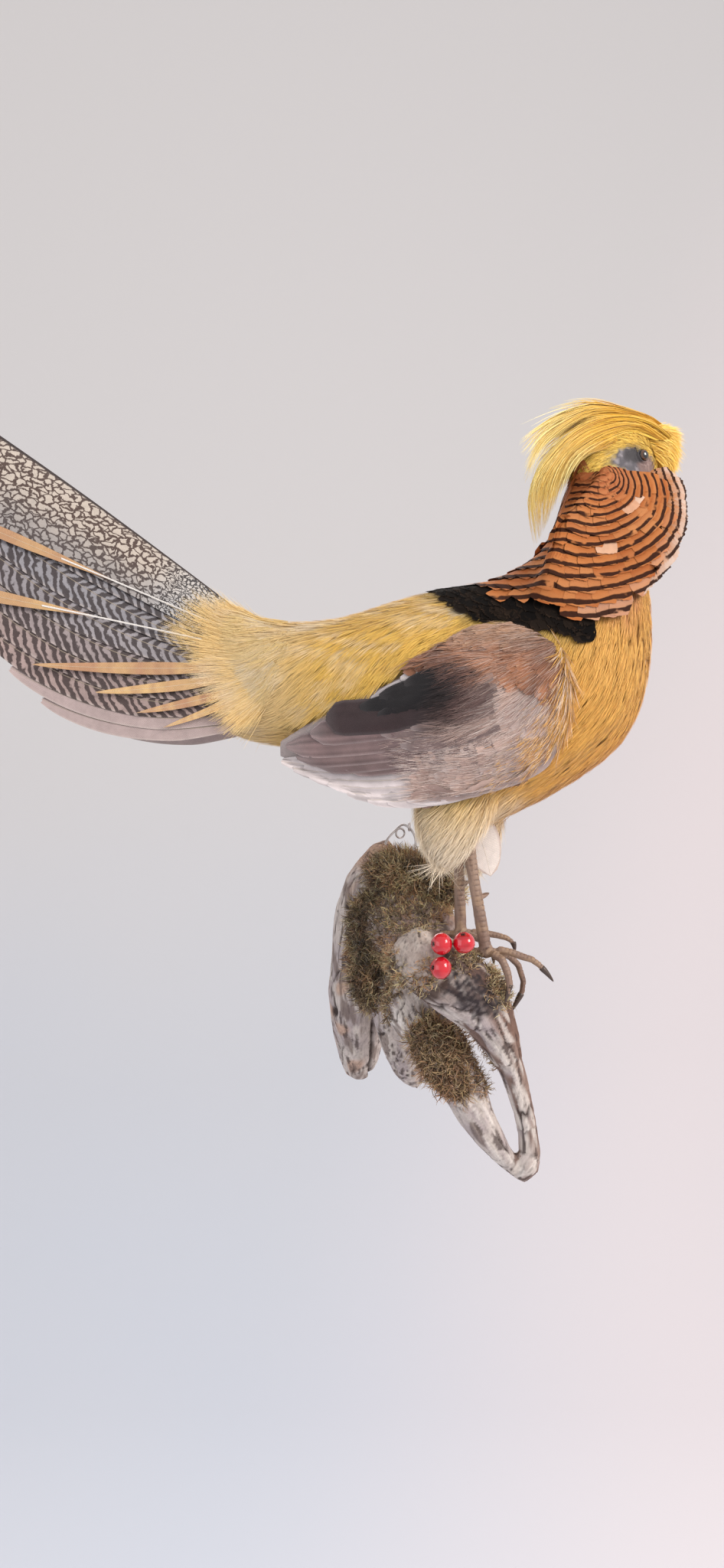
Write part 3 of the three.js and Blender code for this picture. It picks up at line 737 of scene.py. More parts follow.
# body coat
lie = flowFrom([
    [178, 10, 300, -0.15, 0, -1], [180, 0, 260, -0.05, 0, -1], [178, 0, 225, -0.1, 0, -1],
    [168, 20, 190, -0.5, 0.1, -0.85], [150, 20, 160, -0.8, 0, -0.6], [124, 20, 137, -0.93, 0, -0.35],
    [92, 20, 120, -1, 0, -0.2], [61, 20, 115, -1, 0, 0], [30, 20, 128, -1, 0, 0.2], [0, 20, 145, -1, 0, 0.2],
    [-40, 20, 160, -1, 0, 0.1], [-90, 20, 175, -1, 0, 0.1], [150, 50, 230, -0.35, 0, -1],
    [112, 60, 200, -0.62, 0, -0.8], [125, 50, 225, -0.4, 0.1, -0.9], [112, 50, 165, -0.75, 0, -0.65],
    [60, 60, 160, -1, 0, -0.25], [60, 60, 240, -0.75, 0, -0.65], [20, 45, 240, -0.75, 0, -0.6],
    [0, 50, 215, -0.6, 0, -0.8], [40, 0, 265, -1, 0, -0.1], [0, 0, 256, -1, 0, 0],
    [-30, 45, 205, -0.55, 0, -0.85], [-60, 40, 220, -0.85, 0, -0.5], [-60, 35, 180, -0.6, 0, -0.8],
    [-60, 0, 246, -1, 0, 0.1], [-110, 18, 235, -0.95, 0, 0.4], [-112, 15, 205, -1, 0, -0.15],
    [-90, 25, 190, -0.85, 0, -0.5], [50, 30, 120, -0.25, 0, -1], [50, 30, 98, -0.35, 0, -1],
    [38, 30, 105, -0.8, 0, -1], [66, 26, 118, 0.0, 0, -1], [66, 26, 95, 0.22, 0, -1],
    [118, 0, 310, -0.35, 0, -0.95],
    [95, 0, 282, -0.75, 0, -0.65], [75, 0, 272, -0.95, 0, -0.3],
])
coverGround = Ground(nodesCopy("cover", ["wing_right", "wing_left"]))
bpy.data.objects.remove(bpy.data.objects["cover"])
covered = np.linalg.norm(coverGround.nearest(coatGround.places)[0] - coatGround.places, axis=1) < 3
piece = nodesCopy("flank", ["trunk", "rump", "neck", "wing_right", "wing_left", "thigh_right", "thigh_left"])
remade(piece, 2.5, 12)
flankGround = Ground(piece)
bpy.data.objects.remove(piece)

# the cape's own map: a ring number that grows away from the ear, and the angle round it
cape = {
    "centre": (143, 339), "from": -24, "to": 218,
    "squeeze": [
        [-30, 0.76], [0, 0.74], [45, 0.9], [90, 1.0], [120, 1.12], [140, 1.4], [160, 1.9], [180, 2.6],
        [220, 3.0],
    ],
    "reach": [
        [-24, 44], [0, 51.5], [20, 56], [45, 64], [62, 74], [70, 81], [77, 88], [90, 96], [104, 100],
        [112, 101], [125, 106], [135, 112], [141, 112], [150, 96], [165, 62], [196, 46], [218, 34],
    ],
    "inner": [4, 8, 12, 16, 20], "first": 24.5, "step": 5.6, "growth": 0.14, "rings": 14,
    "outer": [130, 136.3, 142.6],
    "face": {"above": 347, "slope": 0.32, "back": 137, "front": 163, "wide": 15},
    "throat": {"sweep": (15, 118), "wide": 24, "front": 150},
    "length": 20, "swell": 8, "napeGap": 2.5, "overlap": 12, "front": (-8, 74, 1.6),
    "cream": [[168, 315, 5.5], [176, 304, 2.6], [141, 287, 4.6], [123, 278, 3.0]],
    "nape": [
        [277.5, 85.4], [284.3, 97.3], [292.8, 107.5], [303, 114.3], [314, 119], [326.8, 122.8], [350.6, 129.6]
    ],
}
capeMiddle = np.array([cape["centre"][0], 0, cape["centre"][1]])


def ringOf(points):  # distance from the ear, angle round it, and how much the rings are squeezed there
    dx, dz = points[:, 0] - cape["centre"][0], cape["centre"][1] - points[:, 2]
    sweep = np.degrees(np.arctan2(dz, dx)) % 360
    sweep = np.where(sweep > 290, sweep - 360, sweep)
    return np.hypot(dx, dz), sweep, tabled(sweep, cape["squeeze"])


def outward(points):
    aim = points - capeMiddle
    aim[:, 1] = 0
    return unit(aim)


def underCape(points):
    radius, sweep, _ = ringOf(points)
    side = np.abs(points[:, 1] - midPlane)
    inside = (radius < tabled(sweep, cape["reach"])) & (sweep > cape["from"]) & (sweep < cape["to"])
    cheek, chin = cape["face"], cape["throat"]
    level = cheek["above"] - cheek["slope"] * np.clip(points[:, 0] - cheek["back"], 0, None)
    face = (points[:, 2] > level) | ((points[:, 0] > cheek["front"]) & (side < cheek["wide"]))
    throat = (sweep > chin["sweep"][0]) & (sweep < chin["sweep"][1])
    throat &= (side < chin["wide"]) & (points[:, 0] > chin["front"])
    return inside & ~face & ~throat


groundX, groundZ = coatGround.places[:, 0], coatGround.places[:, 2]
groundOut = np.abs(coatGround.places[:, 1] - midPlane)
radius, sweep, _ = ringOf(coatGround.places)
ringed = underCape(coatGround.places) & (radius < tabled(sweep, cape["reach"]) - cape["overlap"])
onThigh = (groundZ < 146) & (groundX < 92) & (groundX > 20) & (groundOut > 3)
onThigh &= groundZ < 130 + 0.5 * np.abs(groundX - 55)
onHeadPart = groundZ > 345
onMantle = (mantleBand(groundX, groundZ) > 48) & (groundZ > 239 + 0.16 * (135 - groundX))
onMantle &= (groundX < 133) & (groundZ + 0.42 * groundX < 306)
regions = {
    "coat_breast": {
        "where": ~onHeadPart & (groundX > 108) & ~onMantle, "spacing": 3.7, "length": 18, "count": 10,
        "spread": 2.6, "width": 0.5, "lift": 1.8,
    },
    "coat_back": {
        "where": (groundX <= 108) & (groundX > -30) & (groundZ > 172) & ~onMantle, "spacing": 3.9,
        "length": 20, "count": 13, "spread": 3.0, "width": 0.45, "lift": 2.6,
    },
    "coat_belly": {
        "where": (groundX <= 108) & (groundX > -30) & (groundZ <= 172) & ~onThigh, "spacing": 4.2,
        "length": 20, "count": 11, "spread": 3.2, "width": 0.5, "lift": 2.4,
    },
    "coat_rump": {
        "where": (groundX <= -30), "spacing": 3.8, "length": 24, "count": 11, "spread": 3.2, "width": 0.42,
        "lift": 3.0,
    },
    "coat_thighs": {
        "where": onThigh, "spacing": 3.0, "length": 25, "count": 12, "spread": 5.8, "width": 0.44,
        "lift": 3.4, "tone": (0.8, 1.1), "ragged": (0.5, 1.5),
    },
}
plume = strandFinish("plume")
for name, region in regions.items():
    roots, outs = coatGround.spread(region["where"] & ~covered & ~ringed, region["spacing"])
    lengths = region["length"] * dice.uniform(*region.get("ragged", (0.75, 1.2)), len(roots))
    under = coatGround if name in ("coat_thighs", "coat_belly") else flankGround
    lines, ups = under.combed(roots, outs, lie, lengths, 7, sink=1.6, lift=region["lift"])
    loose, twist = (5.5, 1.1) if name == "coat_thighs" else (0.7, 0.4)
    grid = strands(lines, ups, region["count"], region["spread"], region["width"], loose, twist=twist)
    repeat = lambda values: np.repeat(values, region["count"], axis=0)
    tint, near = bodyTint(roots), bodyTint(lines[:, -1])
    tone = dice.uniform(*region.get("tone", (0.9, 1.1)), (len(grid), 1, 1))
    share = np.linspace(0, 0.8, 4)[None] * np.ones((len(tint), 1))
    rows = repeat(blend(tint[:, None], near[:, None], share)) * tone
    if name in ("coat_back", "coat_rump"):  # a few darker hair-like tips
        dark = (dice.uniform(0, 1, len(grid)) < 0.06)[:, None] * rise(np.linspace(0, 1, 4), 0.5, 0.9)[None]
        rows = blend(rows, linear(126, 96, 60), 0.6 * dark)
    feathers = Plumage()
    feathers.add(grid, np.clip(rows, 0, 1), repeat(bodyUnwrap(roots)), mark=dice.uniform(0, 1, len(grid)))
    feathers.build(name, plume, "yellow")

# mantle: dark broad feathers
mantle = {"spacing": 3.9, "length": 14, "width": 11}
roots, outs = coatGround.spread(onMantle & ~covered & ~ringed, mantle["spacing"])
lengths = mantle["length"] * dice.uniform(0.75, 1.2, len(roots))
lines, ups = flankGround.combed(roots, outs, lie, lengths, 9, sink=1.2, lift=1.8)
grid = vanes(lines, ups, mantle["width"] * dice.uniform(0.75, 1.15, len(roots)), rounded, 7, 0.22, 0.2, 1.0)
grid = flankGround.pressed(grid, np.linspace(0.2, 1.2, 9)[None] + dice.uniform(0, 0.4, (len(roots), 1)))
paler = dice.uniform(0, 0.85, (len(roots), 1)) ** 2 + np.zeros((1, 9))
tone = blend(linear(13, 10, 9), linear(42, 32, 25), paler)


def scalePattern(finish, colour, side, tip, own, **_):
    rim = finish.between(tip, 0.86, 1.0) * 0.6 + finish.between(abs(side - 0.5), 0.40, 0.5) * 0.4
    return finish.mixed(rim * own, colour, linear(58, 44, 34))


feathers = Plumage()
feathers.add(grid, tone, bodyUnwrap(roots), mark=dice.uniform(0, 1, len(roots)))
sooty = vaneFinish("mantleScale", scalePattern, 0.85, 0.0, quilled=False, relief=0.4, shine=0.08)
feathers.build("coat_mantle", sooty, "tawny")
print("body coat")


# cape: square-ended feathers in rings, each with a dark bar at its end
piece = nodesCopy("capeGround", ["ruff_right", "ruff_left", "neck", "head", "trunk"])
remade(piece, 2.2, 10)
# swollen and shrunk again, which fills the folds
setPlaces(piece, placesOf(piece) + normalsOf(piece) * cape["swell"])
remade(piece, 2.4, 12)
setPlaces(piece, placesOf(piece) - normalsOf(piece) * cape["swell"])
remade(piece, 1.9, 30)
places = placesOf(piece)
far = (midPlane - viewPoint[1]) / (places[:, 1] - viewPoint[1])
level = viewPoint[2] + (places[:, 2] - viewPoint[2]) * far
nape = tabled(level, cape["nape"]) + (cape["napeGap"] - viewPoint[0])
behind = nape / far + viewPoint[0] - places[:, 0]
places[:, 0] += np.clip(behind, 0, 25) * rise(level, 280, 286) * rise(level, 352, 346)
setPlaces(piece, places)
smoothed(piece, 12)
capeGround = Ground(piece)
bpy.data.objects.remove(piece)


def waver(sweep):  # the rings are not quite round
    return 0.5 * np.sin(sweep * 0.07)


radius, sweep, squeeze = ringOf(capeGround.places)
inCape = underCape(capeGround.places)
ringRadii = cape["inner"] + [
    cape["first"] + cape["step"] * k + cape["growth"] * k * k for k in range(cape["rings"])
]
tips, widths, targets = [], [], []
for at in ringRadii:
    near = np.flatnonzero(inCape & (np.abs(radius - (at + waver(sweep)) * squeeze) < 0.8))
    width = np.clip(0.34 * at, 4.5, 15.5)
    kept = []
    for k in dice.permutation(near):
        place = capeGround.places[k]
        if all(((place - capeGround.places[other]) ** 2).sum() > (width * 0.5) ** 2 for other in kept):
            kept.append(k)
    tips += kept
    widths += [width] * len(kept)
    targets += [at] * len(kept)
tips, widths, targets = np.array(tips), np.array(widths), np.array(targets, float)


def ringNumber(points):  # whole numbers lie on the rings
    flat = points.reshape(-1, 3)
    far, turn, squeezed = ringOf(flat)
    marks = ringRadii + cape["outer"]
    return np.interp(far / squeezed - waver(turn), marks, range(len(marks))).reshape(points.shape[:-1])


at, out = capeGround.places[tips], capeGround.normals[tips]
short = (targets + waver(sweep[tips])) * squeeze[tips] - radius[tips]
at = at + outward(at) * (short + dice.normal(0, 0.12, len(tips)))[:, None]
lengths = np.minimum(cape["length"], 5 + radius[tips] * 0.7) * dice.uniform(0.95, 1.05, len(tips))


def inward(points):  # toward the ear, but straight up along the nape's ridge
    onRidge = rise(np.abs(points[:, 1] - midPlane), 15, 5) * rise(ringOf(points)[1], 95, 120)
    return unit(blend(-outward(points), np.array([0.3, 0.0, 1.0]), onRidge))


lines, ups = capeGround.combed(at, out, inward, lengths, 9, sink=0, lift=0)
lines, ups = lines[:, ::-1], ups[:, ::-1]
ridge = rise(np.abs(at[:, 1] - midPlane), 6, 16)
widths = widths * (0.5 + 0.5 * ridge) * dice.uniform(0.9, 1.12, len(tips))
grid = vanes(lines, ups, widths, squared, 11, 0.12, 0.08, 0.25)
grid = capeGround.pressed(grid, np.linspace(0.3, 2.2, 9)[None] + dice.uniform(0, 0.4, (len(tips), 1)))
step = np.linalg.norm(np.diff(grid[:, :, 5], axis=1), axis=-1)
whole = step.max(1) < 3.0 * np.median(step, axis=1)
edge = tabled(sweep[tips], cape["reach"]) - radius[tips]
tone = blend(linear(194, 118, 64), linear(172, 94, 48), dice.uniform(0, 1, len(tips)))
tone = layered(
    tone,
    ((206, 140, 90), 0.5 * rise(waves(at, 30, 12), 0, 1)),
    ((172, 100, 64), 0.7 * rise(radius[tips], 30, 16)),
)
pale = np.zeros(len(tips))
for x, z, size in cape["cream"]:
    pale = np.maximum(pale, rise(blot(at, x, z), size * 1.25, size * 0.8))
creamy = np.maximum(0.75 * pale, 0.3 * rise(edge, 9, 2) * (sweep[tips] < 100))
tone = blend(tone, linear(228, 204, 184), creamy)


def capePattern(finish, colour, own, **_):
    spot = finish.spot()
    part = finish.sum("FRACT", own + (finish.noise(spot, 120, 2) - 0.5) * 0.3)
    thin = (finish.noise(spot, 75, 1) - 0.5) * 0.5
    bar = finish.between(part + thin * 0.7, 0.53, 0.63) * (1 - finish.between(part, 0.93, 0.99))
    bar = bar * finish.between(finish.noise(spot, 95, 2) + finish.between(own, 0.0, 4.0) * 0.15, 0.46, 0.54)
    colour = finish.mixed(finish.between(part, 0.1, 0.6) * 0.25, colour, linear(210, 148, 96))
    return finish.mixed(bar * 0.96, colour, linear(46, 20, 14))


def capePatch(sweep, level, far):  # one half of the bake map for each side of the bird
    return np.column_stack([0.04 + 0.92 * (sweep - cape["from"]) / 225, level + 0.5 * far])


feathers = Plumage()
patch = capePatch(sweep[tips], 0.02 + 0.46 * radius[tips] / 125, at[:, 1] > midPlane)
rings = ringNumber(grid) + dice.normal(0, 0.035, (len(tips), 1, 1))
rings[(pale > 0.5) | (ridge < 0.3)] = 0.4
feathers.add(grid[whole], tone[whole], patch[whole], (0.02, 0.02), rings[whole])

# the cape's front edge: pale thin vanes that stand out past it on both sides
turn = np.arange(*cape["front"])
aim = np.column_stack([np.cos(np.radians(turn)), 0 * turn, -np.sin(np.radians(turn))])
reach = tabled(turn, cape["reach"])
for side in (-1, 1):
    base = aim * (reach - 9)[:, None] + capeMiddle
    hits = [
        capeGround.tree.ray_cast((x, midPlane + side * 160, z), (0, -side, 0))[0] for x, _, z in base.tolist()
    ]
    level = np.array([midPlane + side * 8 if hit is None else hit[1] for hit in hits])
    level = np.convolve(np.pad(level, 6, "edge"), np.ones(13) / 13, "valid")
    s = np.linspace(0, 1, 12)[None, :, None]
    for lift, start, stop in ((1.2, -12, 1.0), (0.5, -8, 4.8)):
        short = 3.5 * rise(turn, 6, -10) + 5 * rise(turn, 52, 74) + dice.uniform(-0.4, 1.0, len(turn))
        far = reach[:, None, None] + start + (stop - short[:, None, None] - start) * s
        lines = aim[:, None] * far + capeMiddle
        lines[..., 1] = (level + side * lift)[:, None] - side * 2.5 * s[..., 0] ** 2
        ups = np.broadcast_to([0.0, side * 1.0, 0.0], lines.shape)
        grid = vanes(lines, ups, dice.uniform(3.4, 5.4, len(turn)), squared, 7, 0.06, 0.04, 0.35)
        share = np.clip(s[..., 0] * (0.9 if stop > 3 else 0.3), 0, 1)
        share = np.clip(share + dice.uniform(-0.15, 0.15, (len(turn), 1)), 0, 1)
        tone = blend(linear(200, 132, 84), linear(228, 208, 194), share)
        patch = capePatch(turn, 0.46 + 0 * turn, side > 0)
        rings = ringNumber(grid) + 0.2 * s + dice.normal(0, 0.04, (len(turn), 1, 1))
        feathers.add(grid, tone, patch, 0.006, rings)
barred = vaneFinish("capeBar", capePattern, 0.7, 0.0, quilled=False, shine=0.12)
feathers.build("cape", barred, "tawny", "ruff_right", "ruff_left")
print("cape")


# Head feathers are drawn where they are seen from the near side: x and z as they end up, w across the head.
def faced(x, w, z):
    turn = math.radians(headTurn["angle"]) * rise(z, headTurn["from"], headTurn["to"])
    dx = (x - headTurn["axisX"] + w * np.sin(turn)) / np.cos(turn)
    far = 1 + (x - headTurn["axisX"]) * np.tan(turn) / (midPlane - viewPoint[1])
    x, z = ((value - at) * far + at + 0 * w for value, at in ((x, viewPoint[0]), (z, viewPoint[2])))
    return np.stack([x, midPlane + dx * np.sin(turn) + w * np.cos(turn), z], -1)


def hairs(centre, width, lean=(0, -0.6, 0.8)):  # a thin ribbon along each line
    aim = unit(np.gradient(centre, axis=1))
    n, rows = centre.shape[:2]
    s = np.linspace(0, 1, rows)[None, :, None]
    flat = unit(np.cross(aim, unit(dice.normal(size=(n, 1, 3)) + np.array(lean))))
    half = width * dice.uniform(0.6, 1.3, (n, 1, 1)) * np.sqrt(np.clip(1.02 - s**2, 0, 1)) / 2
    return np.stack([centre - flat * half, centre + flat * half], 2)


# crest: locks of silky strands from the forehead back over the nape
crest = {
    "guides": {
        0.0: [
            [197.6, 373.0], [179.2, 383.2], [159.9, 388.3], [142.5, 389.9], [126.2, 385.3], [109.9, 376.1],
            [95.6, 361.8],
        ],
        0.5: [
            [192.5, 369.0], [172.1, 377.6], [150.7, 378.0], [130.3, 369.5], [112.9, 352.6], [101.7, 331.2],
            [105.8, 297.6],
        ],
        0.8: [
            [185.4, 366.9], [169.0, 372.0], [151.7, 367.9], [136.4, 360.8], [124.2, 350.6], [117.0, 333.3],
            [112.9, 312.9],
        ],
        1.0: [
            [173.1, 365.9], [162.9, 364.9], [152.7, 361.8], [143.5, 357.7], [135.4, 353.7], [129.3, 346.5],
            [125.2, 335.3],
        ],
    },
    # how many locks, which guides they lie between, where they begin and end along them
    "groups": [
        [26, -0.04, 0.12, 0.05, 0.45, 0.7, 1.02], [30, 0.10, 0.42, 0.0, 0.25, 0.38, 0.62],
        [44, -0.06, 0.55, -0.04, 0.1, 0.3, 0.6], [46, 0.40, 0.72, 0.0, 0.4, 0.72, 1.0],
        [60, 0.66, 1.02, -0.02, 0.35, 0.5, 1.0],
    ],
    "strands": 36, "width": 0.42,
}
guideAt = np.array(list(crest["guides"]))
guideLines = np.array(list(crest["guides"].values()))


def crestLine(q, t):  # x and z between the guides
    drawn = np.stack([along(line, t) for line in guideLines], 0)
    k = np.clip(np.searchsorted(guideAt, q) - 1, 0, len(guideAt) - 2)
    share = (q - guideAt[k]) / (guideAt[k + 1] - guideAt[k])
    row, column = np.indices(t.shape)
    return blend(drawn[k, row, column], drawn[k + 1, row, column], share)


lock = []
for count, qLow, qHigh, fromLow, fromHigh, toLow, toHigh in crest["groups"]:
    ranges = ((qLow, qHigh), (fromLow, fromHigh), (toLow, toHigh), (-1, 1), (0, 1))
    lock.append(np.column_stack([dice.uniform(low, high, count) for low, high in ranges]))
lock = np.repeat(np.concatenate(lock), crest["strands"], axis=0)
n = len(lock)
s = np.linspace(0, 1, 11)[None]
q, start, stop, side, tone = (lock[:, k : k + 1] for k in range(5))
t = np.clip(start + (stop * dice.uniform(0.82, 1.03, (n, 1)) - start) * s, 0, 1)
q = np.clip(q + dice.normal(0, 0.044, (n, 1)) * (0.6 + 1.3 * s), -0.04, 1.05)
q = q - 0.11 * rise(dice.uniform(0, 1, (n, 1)), 0.9, 1.0) * s  # stray hairs
wide = 6 + 10.5 * np.clip(q, 0, 1) ** 0.6
spread = np.sign(side) * np.abs(side) ** np.where(q > 0.3, 0.35, 1.0)
w = (
    spread * wide * (1 - 0.45 * rise(t, 0.45, 1)) * (1 + 0.12 * rise(s, 0.2, 0.7))
    + dice.normal(0, 0.9, (n, 1)) * (0.4 + s)
)
flat = crestLine(q, t)
rooted = rise(s, 0, 0.3)
flat[..., 1] -= 2.5 * (1 - rooted)
centre = faced(flat[..., 0], w * (0.85 + 0.15 * rooted), flat[..., 1] - 0.02 * w**2 * (q < 0.4))
grid = hairs(centre, crest["width"])
# painted highlight: the strands turn pale gold toward their ends
shine = rise(t, 0.3, 0.85) * np.clip(0.35 + tone + dice.normal(0, 0.15, (n, 1)), 0, 1)
tone = blend(linear(240, 192, 66), linear(255, 240, 168), shine)
tone = blend(tone, linear(224, 168, 54), 0.45 * rise(dice.uniform(0, 1, (n, 1)) + 0 * s, 0.7, 1.0))
# painted shade: the lowest locks are darker toward their roots, where the crest lies over the head
tone = blend(tone, linear(214, 160, 50), 0.3 * rise(q, 0.85, 1.0) * rise(t, 0.8, 0.5))
feathers = Plumage()
patch = np.column_stack([0.05 + 0.9 * lock[:, 1], 0.5 + 0.44 * lock[:, 3]])
feathers.add(grid, np.clip(tone, 0, 1), patch, mark=dice.uniform(0, 1, n))
feathers.build("crest_silk", strandFinish("crestSilk", 0.42, 0.3, 0.80, 0.16), "gold", "crest")

# short feathers of the face and crown
headLie = flowFrom([
    [186, 8, 372, -1, 0.2, 0.5], [172, 14, 374, -1, 0.1, 0.1], [150, 12, 380, -1, 0, -0.1],
    [135, 10, 366, -0.7, 0, -0.7], [130, 15, 350, -0.5, 0, -0.85], [190, 8, 352, -0.8, 0.3, -0.5],
    [180, 12, 345, -0.8, 0.1, -0.6], [155, 18, 352, -0.95, 0, -0.3],
], 12)
headCoat = {"spacing": 2.1, "length": 9.0, "count": 8, "spread": 1.5, "width": 0.34}
roots, outs = coatGround.spread(onHeadPart & (bareFace(coatGround.places) < 0.55), headCoat["spacing"])
lengths = headCoat["length"] * dice.uniform(0.7, 1.2, len(roots))
lines, ups = coatGround.combed(roots, outs, headLie, lengths, 5, sink=0.9, lift=1.9)
grid = strands(lines, ups, headCoat["count"], headCoat["spread"], headCoat["width"], loft=0.8)
tint = np.repeat(faceTint(roots, bodyTint(roots)), headCoat["count"], axis=0)
tint = np.clip(tint * dice.uniform(0.85, 1.15, (len(grid), 1)), 0, 1)
patch = np.repeat(bodyUnwrap(roots), headCoat["count"], axis=0)
feathers = Plumage()
feathers.add(grid, tint, patch, mark=dice.uniform(0.3, 1.4, len(grid)))

# the forehead's fluff, which falls forward over the bill
fluff = {
    "guides": [
        [[168, 375], [184, 375.5], [198, 374]], [[172, 372], [188.5, 372.5], [201.5, 369.5]],
        [[177, 368], [191.5, 365], [201.5, 357]], [[180, 361.5], [191.5, 356], [198, 347.5]],
        [[182.5, 354], [189, 349], [193, 344.5]],
    ],
    "locks": 190, "strands": 22, "width": 0.34,
}
guides = np.array(fluff["guides"])
pick = dice.uniform(-0.05, 1, fluff["locks"])
side = dice.choice([-1.0, -1.0, 1.0, 0.3, -0.4], fluff["locks"]) * dice.uniform(0.6, 1, fluff["locks"])
pick, side = (np.repeat(values, fluff["strands"])[:, None] for values in (pick, side))
n = len(pick)
s = np.linspace(0, 1, 6)[None]
begin = dice.uniform(-0.1, 0.45, (n, 1))
t = begin + (dice.uniform(0.75, 1.06, (n, 1)) - begin) * s
pick = np.clip(pick + dice.normal(0, 0.08, (n, 1)) * (0.4 + s), -0.1, 1.05) * 4
k = np.clip(pick.astype(int), 0, 3)
place = [guides[:, m][k] + (guides[:, m][k + 1] - guides[:, m][k]) * (pick - k)[..., None] for m in range(3)]
t3 = np.clip(t, 0, 1.06)[..., None]
flat = place[0] * (1 - t3) * (1 - 2 * t3) + 4 * place[1] * t3 * (1 - t3) + place[2] * t3 * (2 * t3 - 1)
flat = flat + dice.normal(0, 1.0, (n, 1, 2)) * dice.choice([1.0, 1.0, 2.2], (n, 1, 1)) * (s[..., None] ** 2)
w = side * (11.4 - 6.4 * t) + dice.normal(0, 0.8, (n, 1)) * (0.3 + s)
lifted = 2.0 * np.sin(np.pi * s) * np.abs(side)
drop = 0.03 * w**2 * np.clip(1 - pick / 2, 0, 1)
centre = faced(flat[..., 0], w + np.sign(side) * lifted, flat[..., 1] - drop)
tone = blend(linear(244, 198, 78), linear(255, 228, 134), dice.uniform(0, 1, (n, 1)) * rise(s, 0, 0.6))
grid = hairs(centre, fluff["width"], (0, -0.9, 0.3))
feathers.add(grid, tone, bodyUnwrap(centre[:, 0]), mark=dice.uniform(0.7, 1.7, n))
feathers.build("coat_head", strandFinish("headGold", 0.5, 0.3, 0.74, 0.2), "yellow")
print("head feathers")


# Vanes drawn flat in x and z on the near side, then laid out to a surface's distance from the middle plane.
def laid(lines, widths, profile, columns, outFrom, lift, lean=0.0, fray=0.3):
    rows = lines.shape[1]
    s, c = np.linspace(0, 1, rows), np.linspace(-1, 1, columns)
    aim = unit(np.gradient(lines, axis=1))
    side = np.stack([aim[..., 1], -aim[..., 0]], -1)
    half = (widths[:, None] * profile(s)[None, :] / 2)[..., None, None]
    flat = lines[:, :, None] + side[:, :, None] * half * c[:, None]
    tooth = dice.uniform(-1, 1, (len(lines), 1, columns, 1)) * fray * s[None, :, None, None] ** 3
    flat = flat + aim[:, :, None] * (tooth + 0.25 * half * (1 - c[:, None] ** 2))
    out = outFrom(flat) + np.reshape(lift, (-1, 1, 1)) + lean * c - 0.06 * half[..., 0] * c**2
    return np.stack([flat[..., 0], midPlane - out, flat[..., 1]], -1)


def curves(rows, table):  # root, bend and tip as x, z
    table = np.array(table, float)
    t = np.linspace(0, 1, rows)[None, :, None]
    a, b, c = (table[:, None, k : k + 2] for k in (0, 2, 4))
    return a * (1 - t) * (1 - 2 * t) + 4 * b * t * (1 - t) + c * t * (2 * t - 1)


# wings
wing = {
    "spacing": 6.6, "length": 27, "width": 16,
    "fluff": {"spacing": 3.3, "length": 25, "count": 13, "spread": 5.0, "width": 0.44},
    "wisps": {"spacing": 2.8, "count": 8, "spread": 5.0, "width": 0.42},
    "lie": [
        [113, 60, 215, -0.7, 0, -0.7], [113, 60, 190, -0.35, 0, -0.95], [110, 60, 165, -0.6, 0, -0.8],
        [95, 60, 145, -0.95, 0, -0.3], [95, 60, 225, -0.95, 0, -0.3], [70, 60, 230, -1, 0, -0.25],
        [70, 60, 200, -0.9, 0, -0.4], [90, 60, 180, -0.75, 0, -0.65], [70, 60, 165, -0.95, 0, -0.3],
        [40, 60, 150, -1, 0, -0.05], [40, 60, 190, -0.95, 0, -0.3],
    ],
    # each row: root, bend and tip as x, z, then the width
    "primaries": [
        [52, 156, -6, 150, -60.7, 154, 13], [56, 154, 0, 146, -53, 149.5, 14],
        [60, 153, 8, 142, -43, 145, 14], [64, 152, 16, 138, -31, 140, 12],
        [68, 151, 24, 135.5, -19, 134, 12], [72, 150, 32, 134, -6, 129.6, 12],
        [76, 149, 40, 134, 6, 128.6, 12], [80, 148, 50, 135, 18, 130, 12],
    ],
    "frontal": [
        [92, 151, 64, 139, 30, 131.5, 12], [101, 156, 78, 143, 46, 136, 12],
        [106, 161, 90, 147.5, 62, 139, 12], [110, 168, 98, 152, 74, 143, 12],
        [108, 172, 88, 156, 56, 147, 12], [104, 176, 78, 160, 44, 151, 12],
    ],
    "secondaries": [
        [82, 166, 54, 157, 16, 152.5, 12], [76, 165, 44, 156, -2, 151, 13],
        [70, 166, 32, 156, -20, 150, 14], [66, 168, 22, 158, -38, 152, 15],
        [62, 172, 14, 162, -51, 157, 16], [60, 178, 10, 168, -57.5, 163.5, 17],
        [58, 184, 10, 176, -42, 171, 17],
    ],
    "pale": [[64, 213, 34, 206, -4, 192, 10], [66, 219, 44, 215, 14, 204, 9], [70, 224, 54, 222, 32, 215, 8]],
    "light": [[66, 178, 34, 172, 2, 171, 10], [74, 174, 44, 166, 14, 163, 9], [70, 184, 46, 178, 20, 174, 9]],
    "brown": [[44, 187, 8, 182, -32, 180.5, 22]],
    "black": [
        [60, 190, 30, 186, 0, 181.5, 12], [60, 195, 26, 190, -10.8, 186.5, 15],
        [60, 203, 34, 199, 1, 192.5, 15], [62, 210, 42, 206, 16, 200, 13],
    ],
}
piece = nodesCopy("wing_base", ["wing_right", "wing_left"])
remade(piece, 2.2, 8)
wingGround = Ground(piece)
setPlaces(piece, wingGround.places - wingGround.normals * 1.6)
setTint(piece, np.ones((len(wingGround.places), 3)) * linear(176, 160, 156))
settled(piece, hide.material, "wing", "wing_right", "wing_left")


def wingOut(flat):
    spots = flat.reshape(-1, 2)
    outs = []
    for x, z in spots.tolist():
        hit = wingGround.tree.ray_cast((x, -300, z), (0, 1, 0))[0]
        near = hit if hit is not None else wingGround.tree.find_nearest((x, -195, z))[0]
        outs.append(midPlane - near[1])
    return np.array(outs).reshape(flat.shape[:-1])


